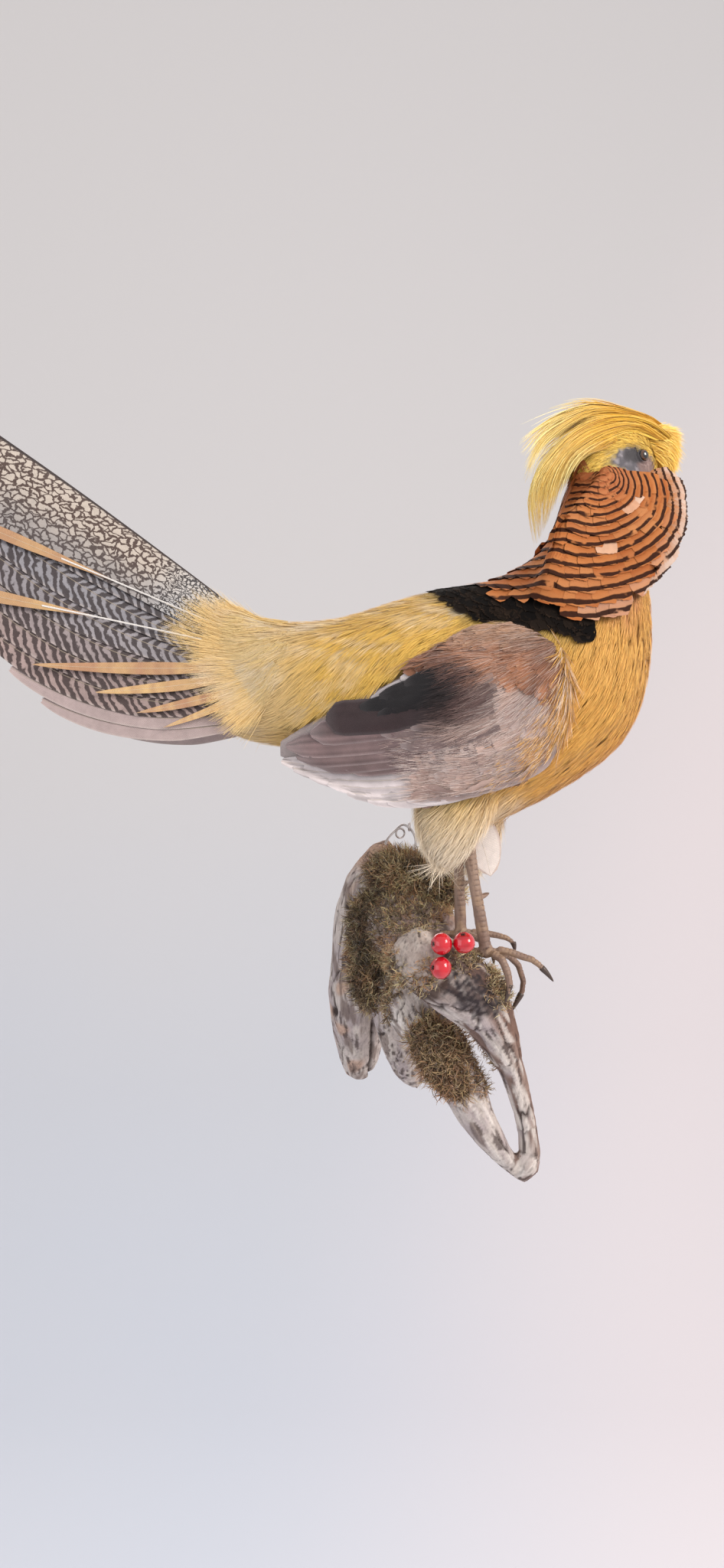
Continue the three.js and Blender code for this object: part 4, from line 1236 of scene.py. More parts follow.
def blunt(s):
    return (
        np.clip(0.45 + 1.1 * s, 0, 1) * np.sqrt(np.clip(1 - (np.clip(s - 0.87, 0, 1) / 0.135) ** 2, 0.02, 1))
    )


def webPattern(finish, colour, side, tip, own, **_):
    rim = finish.between(abs(side - 0.5), 0.38, 0.5) * 0.5 + finish.between(tip, 0.86, 1.0) * 0.5
    return finish.mixed(rim * own, colour, linear(222, 212, 210))


web = vaneFinish("web", webPattern, 0.6, relief=0.5)
darkWeb = vaneFinish("darkWeb", webPattern, 0.5, 0.0, quilled=False)
feathers = Plumage()
places, normals = wingGround.places, wingGround.normals
wingFlow = flowFrom(wing["lie"], 16)


def wingPatch(points):
    return np.column_stack(
        [0.04 + 0.92 * (points[:, 0] + 65) / 185, 0.02 + 0.46 * (points[:, 1] - 125) / 115]
    )


def longFeathers(key, lift, colour, profile, mark, lean=0.0, streak=0.06):
    table = np.array(wing[key], float)
    lines = curves(16, table)
    lift = np.linspace(*lift, len(table))
    grid = laid(lines, table[:, 6], profile, 9, wingOut, lift, lean)
    tone = linear(*colour) * dice.uniform(0.88, 1.1, (len(table), 1, 1))
    tone = tone * (1 + 0.12 * waves(grid[:, :, 4], 9, 4))[..., None]
    tone = tone[:, :, None] * (1 + streak * dice.normal(0, 1, (len(table), 1, 9, 1)))
    feathers.add(grid, np.clip(tone, 0, 1), wingPatch(lines[:, -1]), (0.02, 0.02), mark, both=True)


longFeathers("primaries", (0.4, 1.4), (198, 186, 184), rounded, 0.5, -0.4, 0.2)
longFeathers("frontal", (1.6, 2.6), (150, 130, 124), rounded, 0.3, -0.3)
longFeathers("pale", (1.6, 2.2), (180, 170, 170), rounded, 0.5)
feathers.build("wing_quills", web, "wing")
feathers = Plumage()
longFeathers("secondaries", (2.2, 3.4), (122, 100, 98), blunt, 0.25, -0.4, 0.2)
longFeathers("light", (3.6, 4.0), (128, 108, 104), rounded, 0.3)
longFeathers("brown", (4.4, 4.4), (58, 43, 43), blunt, 0.1)
longFeathers("black", (4.4, 5.0), (26, 21, 22), rounded, 0.05, 0.3)
feathers.build("wing_tertials", darkWeb, "wing")
feathers = Plumage()
near = (normals[:, 1] < 0) & (places[:, 1] < midPlane)
edge = 40 - 0.25 * (places[:, 2] - 180)
outer = near & (places[:, 0] > edge)
outer &= ~((places[:, 0] < 46) & (places[:, 2] > 172) & (places[:, 2] < 214))


def wingRows(wanted, spacing, length):  # lines over the wing, with their sizes and colours
    roots, outs = wingGround.spread(wanted, spacing)
    shoulder = rise(roots[:, 2] + 0.05 * roots[:, 0] + 5 * waves(roots, 25, 6), 203, 212)
    tone = blend(linear(200, 170, 156), linear(166, 138, 128), rise(waves(roots, 24, 7), -0.7, 0.7))
    tone = blend(tone, linear(196, 182, 178), 0.6 * rise(waves(roots, 12, 17), 0.2, 0.9))
    warm = blend(linear(168, 112, 78), linear(124, 80, 58), rise(waves(roots, 20, 8), -0.4, 0.6))
    warm = blend(warm, linear(170, 130, 102), rise(roots[:, 2], 222, 234))
    tone = layered(
        blend(tone, warm, shoulder),
        ((96, 72, 68), rise(blot(roots, 49, 196, 1.5, 1, 3, 12, 18), 21, 12)),
        ((40, 31, 31), rise(blot(roots, 43, 196, 1.25, 1, 3, 12, 18), 17, 11)),
    )
    tone = tone * dice.uniform(0.93, 1.07, (len(roots), 1))
    sizes = dice.uniform(0.8, 1.2, len(roots)) * (1 - 0.25 * shoulder)
    lines, ups = wingGround.combed(roots, outs, wingFlow, length * sizes, 9, sink=-0.4, lift=2.6)
    return roots, lines, ups, sizes, shoulder, tone


roots, lines, ups, sizes, shoulder, tone = wingRows(outer, wing["spacing"], wing["length"])
grid = vanes(lines, ups, wing["width"] * sizes, rounded, 9, 0.2, 0.2, 1.3)
patch, mark = wingPatch(roots[:, [0, 2]]), dice.uniform(0, 0.2, len(roots))
feathers.add(grid, np.clip(tone, 0, 1), patch, (0.012, 0.012), mark, both=True)
feathers.build("wing_feathers", web, "wing")

feathers = Plumage()
fluffy = wing["fluff"]
ragged = dice.uniform(-22, 4, len(places))
wanted = (outer | (places[:, 2] < 170)) & near & (places[:, 0] > edge + ragged)
roots, lines, ups, sizes, shoulder, tone = wingRows(wanted, fluffy["spacing"], fluffy["length"])
raised = rise(roots[:, 0], 80, 66) * rise(np.abs(roots[:, 2] - 196), 26, 18)
lines = lines + ups * (0.6 + 3.4 * raised)[:, None, None]
grid = strands(lines, ups, fluffy["count"], fluffy["spread"], fluffy["width"], loft=0.9)
pale = rise(blot(roots, 46, 196, 1.3), 14, 26) * (1 - 0.45 * shoulder)
share = 0.75 * dice.uniform(0, 1, len(grid)) ** 2.2 * np.repeat(pale, fluffy["count"])
many = blend(np.repeat(tone, fluffy["count"], axis=0), linear(236, 222, 214), share)
many = np.clip(many * dice.uniform(0.88, 1.12, (len(grid), 1)), 0, 1)
patch = np.repeat(wingPatch(roots[:, [0, 2]]), fluffy["count"], axis=0)
feathers.add(grid, many, patch, 0.003, dice.uniform(0, 1, len(grid)), both=True)
feathers.build("wing_fluff", plume, "wing")

# breast feathers that lie over the wing's front edge
feathers = Plumage()
front = (
    (places[:, 1] < midPlane) & (places[:, 0] > 90 - 0.5 * np.abs(places[:, 2] - 190))
    & (normals[:, 0] - 0.5 * normals[:, 2] > 0.2)
)
wisps = wing["wisps"]
roots, outs = wingGround.spread(front & (places[:, 2] < 226), wisps["spacing"])
roots = roots + [5.0, 0, 0]
lines, ups = wingGround.combed(roots, outs, wingFlow, dice.uniform(9, 21, len(roots)), 9, sink=0.3, lift=3.4)
grid = strands(lines, ups, wisps["count"], wisps["spread"], wisps["width"], loft=1.6, twist=1.0)
tone = np.repeat(bodyTint(roots + [14, 0, 0]), wisps["count"], axis=0)
tone = blend(tone, linear(196, 136, 74), 0.8 * (dice.uniform(0, 1, len(grid)) < 0.25))
tone = blend(tone, linear(232, 214, 196), 0.8 * (dice.uniform(0, 1, len(grid)) < 0.4))
patch = np.repeat(wingPatch(roots[:, [0, 2]]), wisps["count"], axis=0)
feathers.add(grid, tone, patch, 0.003, dice.uniform(0, 1, len(grid)), both=True)
feathers.build("wing_front_wisps", plume, "yellow")
print("wings")


# tail: a fold of long feathers, the middle pair along its ridge
tail = {
    "root": (-45, 219), "length": 735, "ridge": 37.6, "droop": 9, "out": 52, "fall": 75,
    "lengths": [735, 560, 450, 370, 310, 265, 232, 200, 168],
    "middle": [
        [45, 24], [70, 27], [100, 32], [150, 40], [225, 52], [300, 56], [400, 52], [550, 38], [680, 18],
        [733, 3],
    ],
    "sides": [0.14, 0.26, 0.38, 0.50, 0.61, 0.72, 0.83, 0.93, 1.0],
    # angle at its start and end, where along the tail it starts and ends, width
    "streamers": [
        [22.3, 22.6, 66, 312, 8.5], [11.5, 11.0, 76, 300, 9], [-4.5, -1.5, 62, 172, 8.5],
        [-12.6, -9.4, 60, 134, 7.5], [-22, -18, 56, 112, 6.5], [-29, -26, 52, 100, 5],
    ],
}


def tailRidge(d):
    return tail["ridge"] - tail["droop"] * (d / tail["length"]) ** 2


def tailBulge(down):  # how far the fold stands out below its ridge
    return tail["out"] * (1 - np.exp(-down / tail["fall"]))


def tailAngle(d, share):
    lower = between(-39.5, -1, np.clip((d - 68) / 138, 0, 1) ** 0.8) + 0.03 * np.clip(d - 206, 0, None)
    return between(tailRidge(d), lower, share)


def tailFlat(d, angle):
    return np.stack(
        [tail["root"][0] - d * np.cos(np.radians(angle)), tail["root"][1] + d * np.sin(np.radians(angle))], -1
    )


def tailOut(flat):
    dx, dz = tail["root"][0] - flat[..., 0], flat[..., 1] - tail["root"][1]
    d = np.hypot(dx, dz)
    down = d * np.sin(np.radians(tailRidge(d)) - np.arctan2(dz, dx))
    return tailBulge(np.clip(down, 0, None))


def netPattern(finish, side, across, length, own, **_):
    wobble = finish.noise(finish.joined(across, length, own), 150, 3) - 0.5
    other = finish.noise(finish.joined(length, across, own + 3), 150, 3) - 0.5
    where = finish.joined(across + wobble * 0.010, length * 0.8 + other * 0.010)
    cell = {"feature": "DISTANCE_TO_EDGE", "voronoi_dimensions": "2D"}
    wide = finish.node("TexVoronoi", cell, {"Vector": where, "Scale": 215})
    fine = finish.node("TexVoronoi", cell, {"Vector": where, "Scale": 420})
    base = finish.between(length, 0.045, 0.085)
    edge = finish.mixed(base, fine, wide)
    line = 1 - finish.between(edge, 0.10, 0.20)
    lower = 1 - finish.between(side + wobble * 0.4, 0.1, 0.7)
    cells = finish.mixed(lower, linear(206, 192, 178), linear(166, 158, 154))
    cells = finish.mixed((1 - base) * 0.5, cells, linear(206, 206, 208))
    inks = finish.mixed(base, linear(44, 40, 42), finish.mixed(lower, linear(72, 48, 40), linear(76, 64, 62)))
    cells = finish.mixed(line * 0.95, cells, inks)
    return finish.mixed(finish.between(side, 0.955, 0.975), cells, linear(50, 34, 30))


def barPattern(finish, colour, side, across, length, own, **_):
    wobble = finish.noise(finish.joined(across, length, own * 5), 150, 3) - 0.5
    wave = finish.sum("SINE", (length + abs(across) * 0.75 + wobble * 0.011) * 900)
    bar = finish.between(wave + wobble * 1.8, -0.65, 0.25) * (1 - finish.between(own, 0.8, 0.85))
    colour = finish.mixed(finish.between(abs(side - 0.5), 0.40, 0.5) * 0.5, colour, linear(196, 182, 174))
    colour = finish.mixed((1 - finish.between(abs(side - 0.5), 0.0, 0.03)) * 0.5, colour, linear(70, 56, 52))
    inks = finish.mixed(own, linear(52, 46, 48), linear(62, 42, 38))
    return finish.mixed(bar * 0.9, colour, inks)


feathers = Plumage()
d = np.linspace(45, 733, 90)
wide = tabled(d, tail["middle"])
c = np.linspace(-1, 1, 15)
down = wide[:, None] * (1 - c) / 2
angle = tailRidge(d)[:, None] - np.degrees(np.arcsin(np.clip(down / d[:, None], 0, 0.95)))
flat = tailFlat(d[:, None], angle)
out = tailBulge(down) + 0.7 + 3.6 * (1 - np.exp(-down / 7)) + 0.4 * waves(np.dstack([flat, down]), 60, 2)
grid = np.stack([flat[..., 0], midPlane - out, flat[..., 1]], -1)[None]
feathers.add(grid, linear(220, 205, 186), np.array([[0.5, 0.26]]), (0.9, 0.4), 0.5, both=True)
feathers.build("tail_middle_pair", vaneFinish("net", netPattern, 0.5, quilled=False), "tail", "tail_middle")

feathers = Plumage()
for k, share in enumerate(tail["sides"]):
    longest = np.interp(share, np.linspace(0, 1, 9), tail["lengths"])
    d = np.linspace(42, longest, 34)
    line = tailFlat(d, tailAngle(d, share * 0.985))[None]
    plain = share > 0.9
    colour = blend(linear(150, 146, 150), linear(166, 144, 138), rise(share, 0.4, 0.8))
    colour = linear(176, 156, 152) if plain else colour
    tone = colour * (1 + 0.08 * waves(np.dstack([line, line[..., :1]]), 30, k))[..., None]
    width = np.array([15 if plain else 30 - 9 * share])
    grid = laid(line, width, rounded, 11, tailOut, 3.4 - 3.2 * share, lean=-0.9, fray=0.6)
    own = 0.95 if plain else 0.1 + 0.6 * share
    patch = np.array([[0.5, 0.04 + 0.42 * share]])
    feathers.add(grid, np.clip(tone, 0, 1), patch, (0.9, 0.04), own, both=True)
feathers.build("tail_sides", vaneFinish("bars", barPattern, 0.55), "tail", "tail_right", "tail_left")

feathers = Plumage()
table = np.array(tail["streamers"])
s = np.linspace(0, 1, 24)
d = table[:, 2:3] + (table[:, 3:4] - table[:, 2:3]) * s
angle = table[:, 0:1] + (table[:, 1:2] - table[:, 0:1]) * s
line = tailFlat(d, angle)
shafted = lambda s: rise(s, 0.22, 0.6) * np.clip(1.0 - s**3, 0, 1) ** 0.6 + 0.04
webbed = lambda s: rise(s, -0.4, 0.35) * np.clip(1.0 - s**2.2, 0, 1) ** 0.8 + 0.04
halves = ((slice(0, 2), shafted), (slice(2, 6), webbed))
grid = [laid(line[k], table[k, 4], profile, 7, tailOut, 5.4, fray=1.0) for k, profile in halves]
grid = np.concatenate(grid)
share = dice.uniform(0, 1, (len(table), 1)) + 0.4 * dice.uniform(-1, 1, (len(table), 24))
tone = blend(linear(216, 178, 122), linear(188, 144, 106), share)
patch = np.column_stack([np.full(len(table), 0.5), 0.48 + 0.003 * np.arange(len(table))])
feathers.add(grid, tone, patch, (0.4, 0.003), 0.2, both=True)
s = np.linspace(0, 1, 12)
d = table[:2, 2:3] - 6 + (table[:2, 3:4] - table[:2, 2:3]) * 0.45 * s
line = tailFlat(d, table[:2, 0:1] + (table[:2, 1:2] - table[:2, 0:1]) * 0.45 * s)
shafts = [np.stack([line[..., 0], midPlane - tailOut(line) - 5.9, line[..., 1] + k], -1) for k in (-0.5, 0.5)]
patch = np.array([[0.5, 0.485], [0.5, 0.488]])
feathers.add(np.stack(shafts, 2), linear(240, 236, 232), patch, (0.3, 0.002), 0.5, both=True)
feathers.build("tail_streamers", vaneFinish("buff", None, 0.5), "gold")

# yellow coverts that run out over the tail's base
coverts = {
    "tufts": 900, "strands": 13, "spread": 4.2, "width": 0.40, "angles": (-46, 37),
    "ends": [
        [-46, 74], [-22, 72], [-9, 76], [2, 80], [8, 84], [10, 98], [17, 100], [20, 88], [30, 94], [37, 76],
    ],
}
n, count = coverts["tufts"], coverts["strands"]
angle = dice.uniform(*coverts["angles"], n)
stop = tabled(angle, coverts["ends"]) * dice.uniform(0.72, 1.03, n)
start = stop - dice.uniform(24, 52, n)
s = np.linspace(0, 1, 9)[None]
d = start[:, None] + (stop - start)[:, None] * s
flat = tailFlat(d, angle[:, None] + dice.normal(0, 2.5, (n, 1)) * s)
out = tailOut(flat) + 4.2 + 3.2 * s + dice.uniform(0, 1.2, (n, 1))
lines = np.stack([flat[..., 0], midPlane - out, flat[..., 1]], -1)
base, away = flankGround.nearest(lines.reshape(-1, 3))
base = (base + away * np.repeat(dice.uniform(-1.8, 0.8, n), 9)[:, None]).reshape(lines.shape)
lines = blend(base, lines, rise(s, 0.3, 1.0))
ups = np.broadcast_to([0.0, -1.0, 0.0], lines.shape)
grid = strands(lines, ups, count, coverts["spread"], coverts["width"], loft=1.2, least=0.4)
tone = np.repeat(bodyTint(lines[:, 2]), count, axis=0)
tone = blend(tone, linear(238, 206, 138), dice.uniform(0.2, 0.8, len(grid)))
tone = blend(tone, linear(232, 214, 188), 0.6 * np.repeat(rise(waves(lines[:, 4], 26, 15), 0.1, 0.9), count))
feathers = Plumage()
patch = np.column_stack([0.5 + 0.4 * angle / 50, 0.25 + 0.2 * dice.uniform(-1, 1, n)])
patch = np.repeat(patch, count, axis=0)
feathers.add(grid, tone, patch, 0.003, dice.uniform(0, 1, len(grid)), both=True)
feathers.build("tail_coverts", plume, "yellow")
print("tail")


# eyes
glass = Finish("glass", {"Roughness": 0.06, "Coat Weight": 1.0, "Coat Roughness": 0.02})
glass.feed("Base Color", glass.stored("tint"))
for node, eye, side in (("eye_right", eyes[0], -1), ("eye_left", eyes[1], 1)):
    piece = ball(node + "_glass", eye, eyeSpot["radius"])
    gaze = eyePlace(side, 0.6, 5) - eye
    around = np.degrees(np.arccos(np.clip(unit(placesOf(piece) - eye) @ unit(gaze), -1, 1)))
    iris = rise(around, 31, 36) * rise(around, 54, 46)
    setTint(piece, blend(linear(20, 14, 13), linear(92, 56, 28), iris))
    settled(piece, glass.material, "eye", node)

# bill
bill = nodesCopy("bill", ["bill_upper", "bill_lower"])
remade(bill, 0.5, 5)
places = turned(placesOf(bill), back=True)
gape = np.exp(-(((places[:, 2] - 351.2) / 0.5) ** 2)) * 0.4
nostril = np.exp(-((places[:, 0] - 186) ** 2 / 3.2 + (places[:, 2] - 355.2) ** 2 / 0.9)) * 0.9
setPlaces(bill, placesOf(bill) - normalsOf(bill) * (gape + nostril)[:, None])
tint = blend(linear(206, 186, 150), linear(150, 128, 104), rise(places[:, 0], 197, 207))
setTint(bill, blend(tint, linear(70, 56, 48), np.clip(nostril + gape, 0, 1)))
horn = Finish("horn", {"Roughness": 0.38})
spot = horn.spot()
streak = horn.noise(horn.stretched(spot, 60, 260, 260), 4, 3)
horn.feed("Base Color", horn.shaded(horn.stored("tint"), 0.72 + streak * 0.5))
horn.bump(streak, 0.0002, 0.3)
settled(bill, horn.material, "horn", "bill_upper", "bill_lower")
print("eyes and bill")


# Places beside polylines: which line is nearest, how far along it, and the offset from it.
def beside(points, paths):
    best = np.full(len(points), 1e9)
    travel, which = np.zeros(len(points)), np.zeros(len(points), int)
    offset, ahead = np.zeros((len(points), 3)), np.zeros((len(points), 3))
    for number, path in enumerate(paths):
        path = np.array(path, float)
        length = 0
        for a, b in zip(path[:-1], path[1:]):
            size = np.linalg.norm(b - a)
            share = np.clip((points - a) @ (b - a) / size**2, 0, 1)
            gap = points - a - share[:, None] * (b - a)
            far = np.linalg.norm(gap, axis=1)
            near = far < best
            best[near], which[near] = far[near], number
            travel[near] = length + share[near] * size
            offset[near], ahead[near] = gap[near], (b - a) / size
            length += size
    return which, travel, offset, ahead


def swept(lines, radii, around=8):  # round rods along lines, (lines, rows, around + 1, xyz)
    aim = unit(np.gradient(lines, axis=1))
    u = unit(np.cross(aim, np.array([0.31, 0.87, 0.38])))
    v = np.cross(aim, u)
    turn = np.linspace(0, 2 * np.pi, around + 1)[None, None, :, None]
    radii = np.array(np.broadcast_to(radii, lines.shape[:2]), float)
    radii[:, [0, -1]] = 0
    return (
        lines[:, :, None]
        + (u[:, :, None] * np.cos(turn) + v[:, :, None] * np.sin(turn)) * radii[..., None, None]
    )


# legs
legs = {
    "shanks": [[[57.5, -162, 107], [70, -165, 31]], [[55.5, -117, 110], [58, -117, 36]]],
    "toes": [
        [
            [72, -166, 32], [82, -167, 32.5], [92, -168, 29], [100, -169, 26.5], [106, -170, 21],
            [112.5, -170, 14.5],
        ],
        [[71, -168, 31], [78, -175, 29], [82, -179, 20], [83, -181, 12], [81, -180, 3]],
        [[71, -162, 31], [82, -154, 29], [92, -150, 22], [96.5, -149, 8], [94, -149, 0], [88.5, -149, -10]],
        [[68, -163, 31], [58, -160, 32], [52, -158, 31], [47, -157, 28]],
        [
            [60, -117, 37], [70, -117, 37.5], [81, -117, 36], [90, -117, 33.5], [94, -117, 30],
            [95.5, -117, 25.5],
        ],
        [[59, -119, 37], [67, -126, 35.5], [74, -131, 32], [78, -133, 26], [79, -134, 20]],
        [[59, -114, 37], [66, -106, 36], [73, -101, 33], [77, -99, 27], [78, -98, 21]],
        [[56, -116, 36], [47, -113, 36.5], [41, -111, 35.5], [36, -110, 33]],
    ],
    "scute": 2.9, "claw": 2.1, "voxel": 0.85,
}
piece = nodesCopy("legs", ["tarsus_right", "foot_right", "tarsus_left", "foot_left"])
remade(piece, legs["voxel"], 4)
places, normals = placesOf(piece), normalsOf(piece)
which, travel, offset, ahead = beside(places, legs["shanks"] + legs["toes"])
shank = which < 2
gap = np.abs(travel / (legs["scute"] * np.where(shank, 1.15, 0.85)) % 1 - 0.5) * 2
groove = np.exp(-((1 - gap) ** 2) / 0.035) * rise(normals[:, 0] + 0.6 * normals[:, 2] * ~shank, -0.7, 0.1)
fibre = waves(offset * 1.0 + ahead * travel[:, None] * 0.1, 2.2, 21)
setPlaces(piece, places - normals * (0.32 * groove + 0.10 * fibre)[:, None])
tint = blend(linear(150, 124, 106), linear(122, 94, 82), rise(travel + 30 * ~shank, 20, 90))
tint = blend(tint, linear(166, 136, 108), 0.6 * rise(waves(places, 14, 22), 0.1, 0.9))
tint = blend(tint, linear(84, 62, 54), np.clip(0.75 * groove + 0.3 * rise(fibre, 0.2, 1), 0, 1))
setTint(piece, tint)
scale = Finish("scale", {"Roughness": 0.5, "Specular IOR Level": 0.4})
spot = scale.spot()
fleck = scale.noise(spot, 1400, 3)
scale.feed("Base Color", scale.shaded(scale.stored("tint"), 0.7 + fleck * 0.55))
scale.bump(fleck, 0.0003, 0.5)
settled(piece, scale.material, "leg", "tarsus_right", "foot_right", "tarsus_left", "foot_left")

claws = Plumage()
ends = np.array([[toe[-2], toe[-1]] for toe in legs["toes"]], float)
s = np.linspace(-0.25, 1, 12)[None, :, None]
reach = ends[:, 1:] - ends[:, :1]
lines = ends[:, :1] + reach * s * 1.12 + np.array([-0.6, 0, -0.9]) * s * np.abs(s)
radii = legs["claw"] * np.clip(1.02 - s[..., 0], 0.02, 1) ** 0.6
patch = np.column_stack([np.linspace(0.1, 0.9, len(ends)), np.full(len(ends), 0.5)])
claws.add(swept(lines, radii), linear(72, 56, 48), patch, 0.05)
keratin = Finish("keratin", {"Roughness": 0.34})
grain = keratin.noise(keratin.spot(), 700, 2)
keratin.feed("Base Color", keratin.shaded(keratin.stored("tint"), 0.7 + grain * 0.6))
claws.build("claws", keratin.material, "horn", welded=True)

# a loose pale feather hanging behind the far leg
loose = Plumage()
line = curves(16, [[62, 119, 70, 101, 76, 78]])
oval = lambda s: np.sin(np.pi * np.clip(s * 0.93 + 0.07, 0, 1)) ** 0.55
grid = laid(line, np.array([25.0]), oval, 11, lambda flat: flat[..., 0] * 0 - 1.5, 0)


def loosePattern(finish, colour, side, tip, **_):
    rim = finish.between(abs(side - 0.5) + finish.between(tip, 0.8, 1) * 0.3, 0.40, 0.5)
    stain = 1 - finish.between(abs(tip - 0.3) + abs(side - 0.7), 0.05, 0.3)
    colour = finish.mixed(stain * 0.7, colour, linear(214, 158, 110))
    return finish.mixed(rim * 0.45, colour, linear(170, 130, 108))


loose.add(grid, linear(240, 228, 220), np.array([[0.5, 0.5]]), (0.8, 0.8))
loose.build("loose_feather", vaneFinish("loosePale", loosePattern, 0.5), "wing")
print("legs")


# driftwood
wood = {
    "voxel": 1.4,
    "grain": [
        [[-4, -12, 90], [-14, -14, 40], [-20, -14, -10], [-12, -14, -88]],
        [[14, -30, 62], [12, -60, 40], [16, -90, 10], [24, -90, -30]],
        [[24, -60, 42], [26, -120, 36], [24, -196, 32]],
        [
            [9, -176, 34], [30, -172, 27], [62, -163, 2], [85, -152, -40], [99, -149, -86],
            [100.5, -149, -103], [89, -149, -119],
        ],
        [[20, -96, 4], [34, -126, -26], [58, -144, -64], [84, -149, -110]],
    ],
    "holes": [[-21.4, 47.3, 2.6], [-22, 26.6, 1.6], [-31, -33.7, 3.4], [-12, -8, 2.2]],
}
piece = nodesCopy("driftwood", ["wood_slab", "wood_core", "wood_limb", "wood_fork"])
remade(piece, wood["voxel"], 5)
woodGround = Ground(piece)
places, normals = woodGround.places, woodGround.normals
which, travel, offset, ahead = beside(places, wood["grain"])
run = offset + ahead * travel[:, None] * 0.13
lumps = waves(places, 26, 31) * 0.8 + waves(run, 13, 32) * 0.5
grooves = (
    np.exp(-((waves(run, 4.6, 33) / 0.16) ** 2)) * 0.35 + np.exp(-((waves(run, 2.4, 36) / 0.22) ** 2)) * 0.16
)
cracks = np.exp(-((waves(run, 19, 34) / 0.06) ** 2)) * rise(waves(places, 40, 35), -0.3, 0.3)
hole = np.zeros(len(places))
for x, z, size in wood["holes"]:
    hole = np.maximum(
        hole,
        rise(np.hypot(places[:, 0] - x, (places[:, 2] - z) * 0.6), size, size * 0.4) * (normals[:, 1] < 0.3),
    )
split = (
    np.exp(-(((places[:, 0] + 2.5 - 0.04 * (places[:, 2] + 60)) / 1.3) ** 2)) * rise(places[:, 2], -32, -42)
    * (which == 0)
)
flush = rise(places[:, 1], -1.2, -4)  # the flat back stays against the wall
raised = (0.35 * lumps - grooves - 1.3 * cracks - 1.6 * hole - 2.4 * split) * flush
setPlaces(piece, places + normals * raised[:, None])
x, y, z = places.T
limb = which == 3
# painted shade along the limb's right side, from a little way down it
under = rise(offset[:, 0] * 0.8 + offset[:, 2] * 0.5, -1, 5) * limb * rise(travel, 34, 60)
char = rise(blot(places, 60, 7, 1.4, 1, 3.2, 9, 44, slant=0.45), 17, 11) * rise(y, -140, -160)
char = np.maximum(char, 0.8 * rise(blot(places, 26, 45, 1, 1, 3, 8, 45), 9, 4) * rise(y, -150, -165))
char = np.maximum(char, 0.85 * rise(blot(places, 84, 8, 1, 1, 2, 8, 46), 9, 5))
char = np.maximum(char, 0.75 * rise(blot(places, 58, 28, 1.3, 1, 2, 8, 67), 13, 8) * rise(y, -150, -165))
shade = rise(waves(places, 22, 48) + 0.6 * waves(run, 6, 49), 0.35, 1.0) * ~limb
stump = rise(blot(places, 34, 34, 1.3), 40, 24) * rise(y, -60, -100) * (which != 0)
knob = blot(places, 24, 31, 0.74, 1, 1.5, 10, 50, slant=0.25)
inFront = rise(y, -120, -150)
tint = layered(
    blend(linear(196, 183, 176), linear(176, 162, 160), rise(waves(places, 34, 41), -0.6, 0.7)),
    ((204, 192, 182), rise(waves(run, 8, 42), 0.1, 0.9) * 0.8),
    ((190, 152, 128), 0.7 * rise(waves(places, 38, 43), 0.35, 0.9) * ~limb),
    ((188, 146, 120), 0.75 * rise(z, 70, 84) * (which == 0)),
    # painted shade on the limb's right side
    ((122, 92, 78), 0.8 * under),
    ((112, 84, 72), 0.85 * rise(waves(run, 11, 65), 0.15, 0.45) * limb),
    # pale streaks along the grain: the pale wood, lightened further as painted highlights
    ((226, 216, 208), 0.6 * rise(waves(run, 7, 69), 0.1, 0.7) * (which >= 3)),
    ((66, 52, 48), 0.8 * rise(waves(run, 5.5, 70) + 0.3 * waves(places, 20, 71), 0.7, 0.95) * (which != 2)),
    ((50, 43, 45), char * (0.7 + 0.3 * rise(waves(places, 5, 47), -0.6, 0.6))),
    ((112, 94, 86), 0.7 * shade),
    ((112, 84, 76), 0.6 * stump * (1 - char)),
    # painted shadow: a dark band round the knob, where the moss overhangs it
    ((70, 54, 46), 0.85 * rise(knob, 31, 26) * rise(knob, 19, 24) * inFront),
    ((196, 182, 172), (0.65 + 0.3 * rise(waves(places, 12, 64), -0.4, 0.6)) * rise(knob, 24, 19) * inFront),
    # dark in the cracks, grooves, holes and split: the wood's own darker cracks, with painted shade in these
    # recesses
    ((60, 48, 44), np.clip(cracks * 0.9 + hole + grooves * 0.9 + 0.9 * split, 0, 1)),
)
setTint(piece, tint)
grainMark = piece.data.attributes.new("grain", "FLOAT_VECTOR", "POINT")
grainMark.data.foreach_set("vector", (run / 1000).ravel())
timber = Finish("timber", {"Roughness": 0.8, "Specular IOR Level": 0.25})
fine = timber.stored("grain", 1)
streak = timber.noise(fine, 650, 4, 0.65)
broad = timber.noise(fine, 160, 3)
speck = timber.noise(timber.spot(), 420, 3)
light = 0.45 + streak * 0.55 + broad * 0.35 + speck * 0.2
timber.feed("Base Color", timber.shaded(timber.stored("tint"), light))
timber.feed("Roughness", 0.7 + streak * 0.25)
timber.bump(streak + speck * 0.4, 0.0009, 0.7)
settled(piece, timber.material, "wood", "wood_slab", "wood_core", "wood_limb", "wood_fork")
print(f"driftwood: {len(piece.data.polygons)} faces")


# moss: a lumpy bed and curling threads over it
moss = {"spacing": 2.3, "threads": 4, "length": 10.0, "width": 0.85, "bed": 1.2, "voxel": 1.5}
piece = nodesCopy("moss_bed", ["moss_crown", "moss_side", "moss_fork"])
remade(piece, moss["voxel"], 8)
mossGround = Ground(piece)
rough = waves(mossGround.places, 9, 51) * 1.2 + waves(mossGround.places, 4, 52) * 0.7
setPlaces(piece, mossGround.places + mossGround.normals * (rough - moss["bed"] - 0.8)[:, None])
setTint(piece, blend(linear(92, 76, 54), linear(128, 110, 78), rise(rough, -0.8, 1.2)))
earth = Finish("earth", {"Roughness": 0.95, "Specular IOR Level": 0.1})
crumb = earth.noise(earth.spot(), 900, 4)
earth.feed("Base Color", earth.shaded(earth.stored("tint"), 0.4 + crumb * 1.0))
earth.bump(crumb, 0.0012, 0.8)
settled(piece, earth.material, "moss", "moss_crown", "moss_side", "moss_fork")


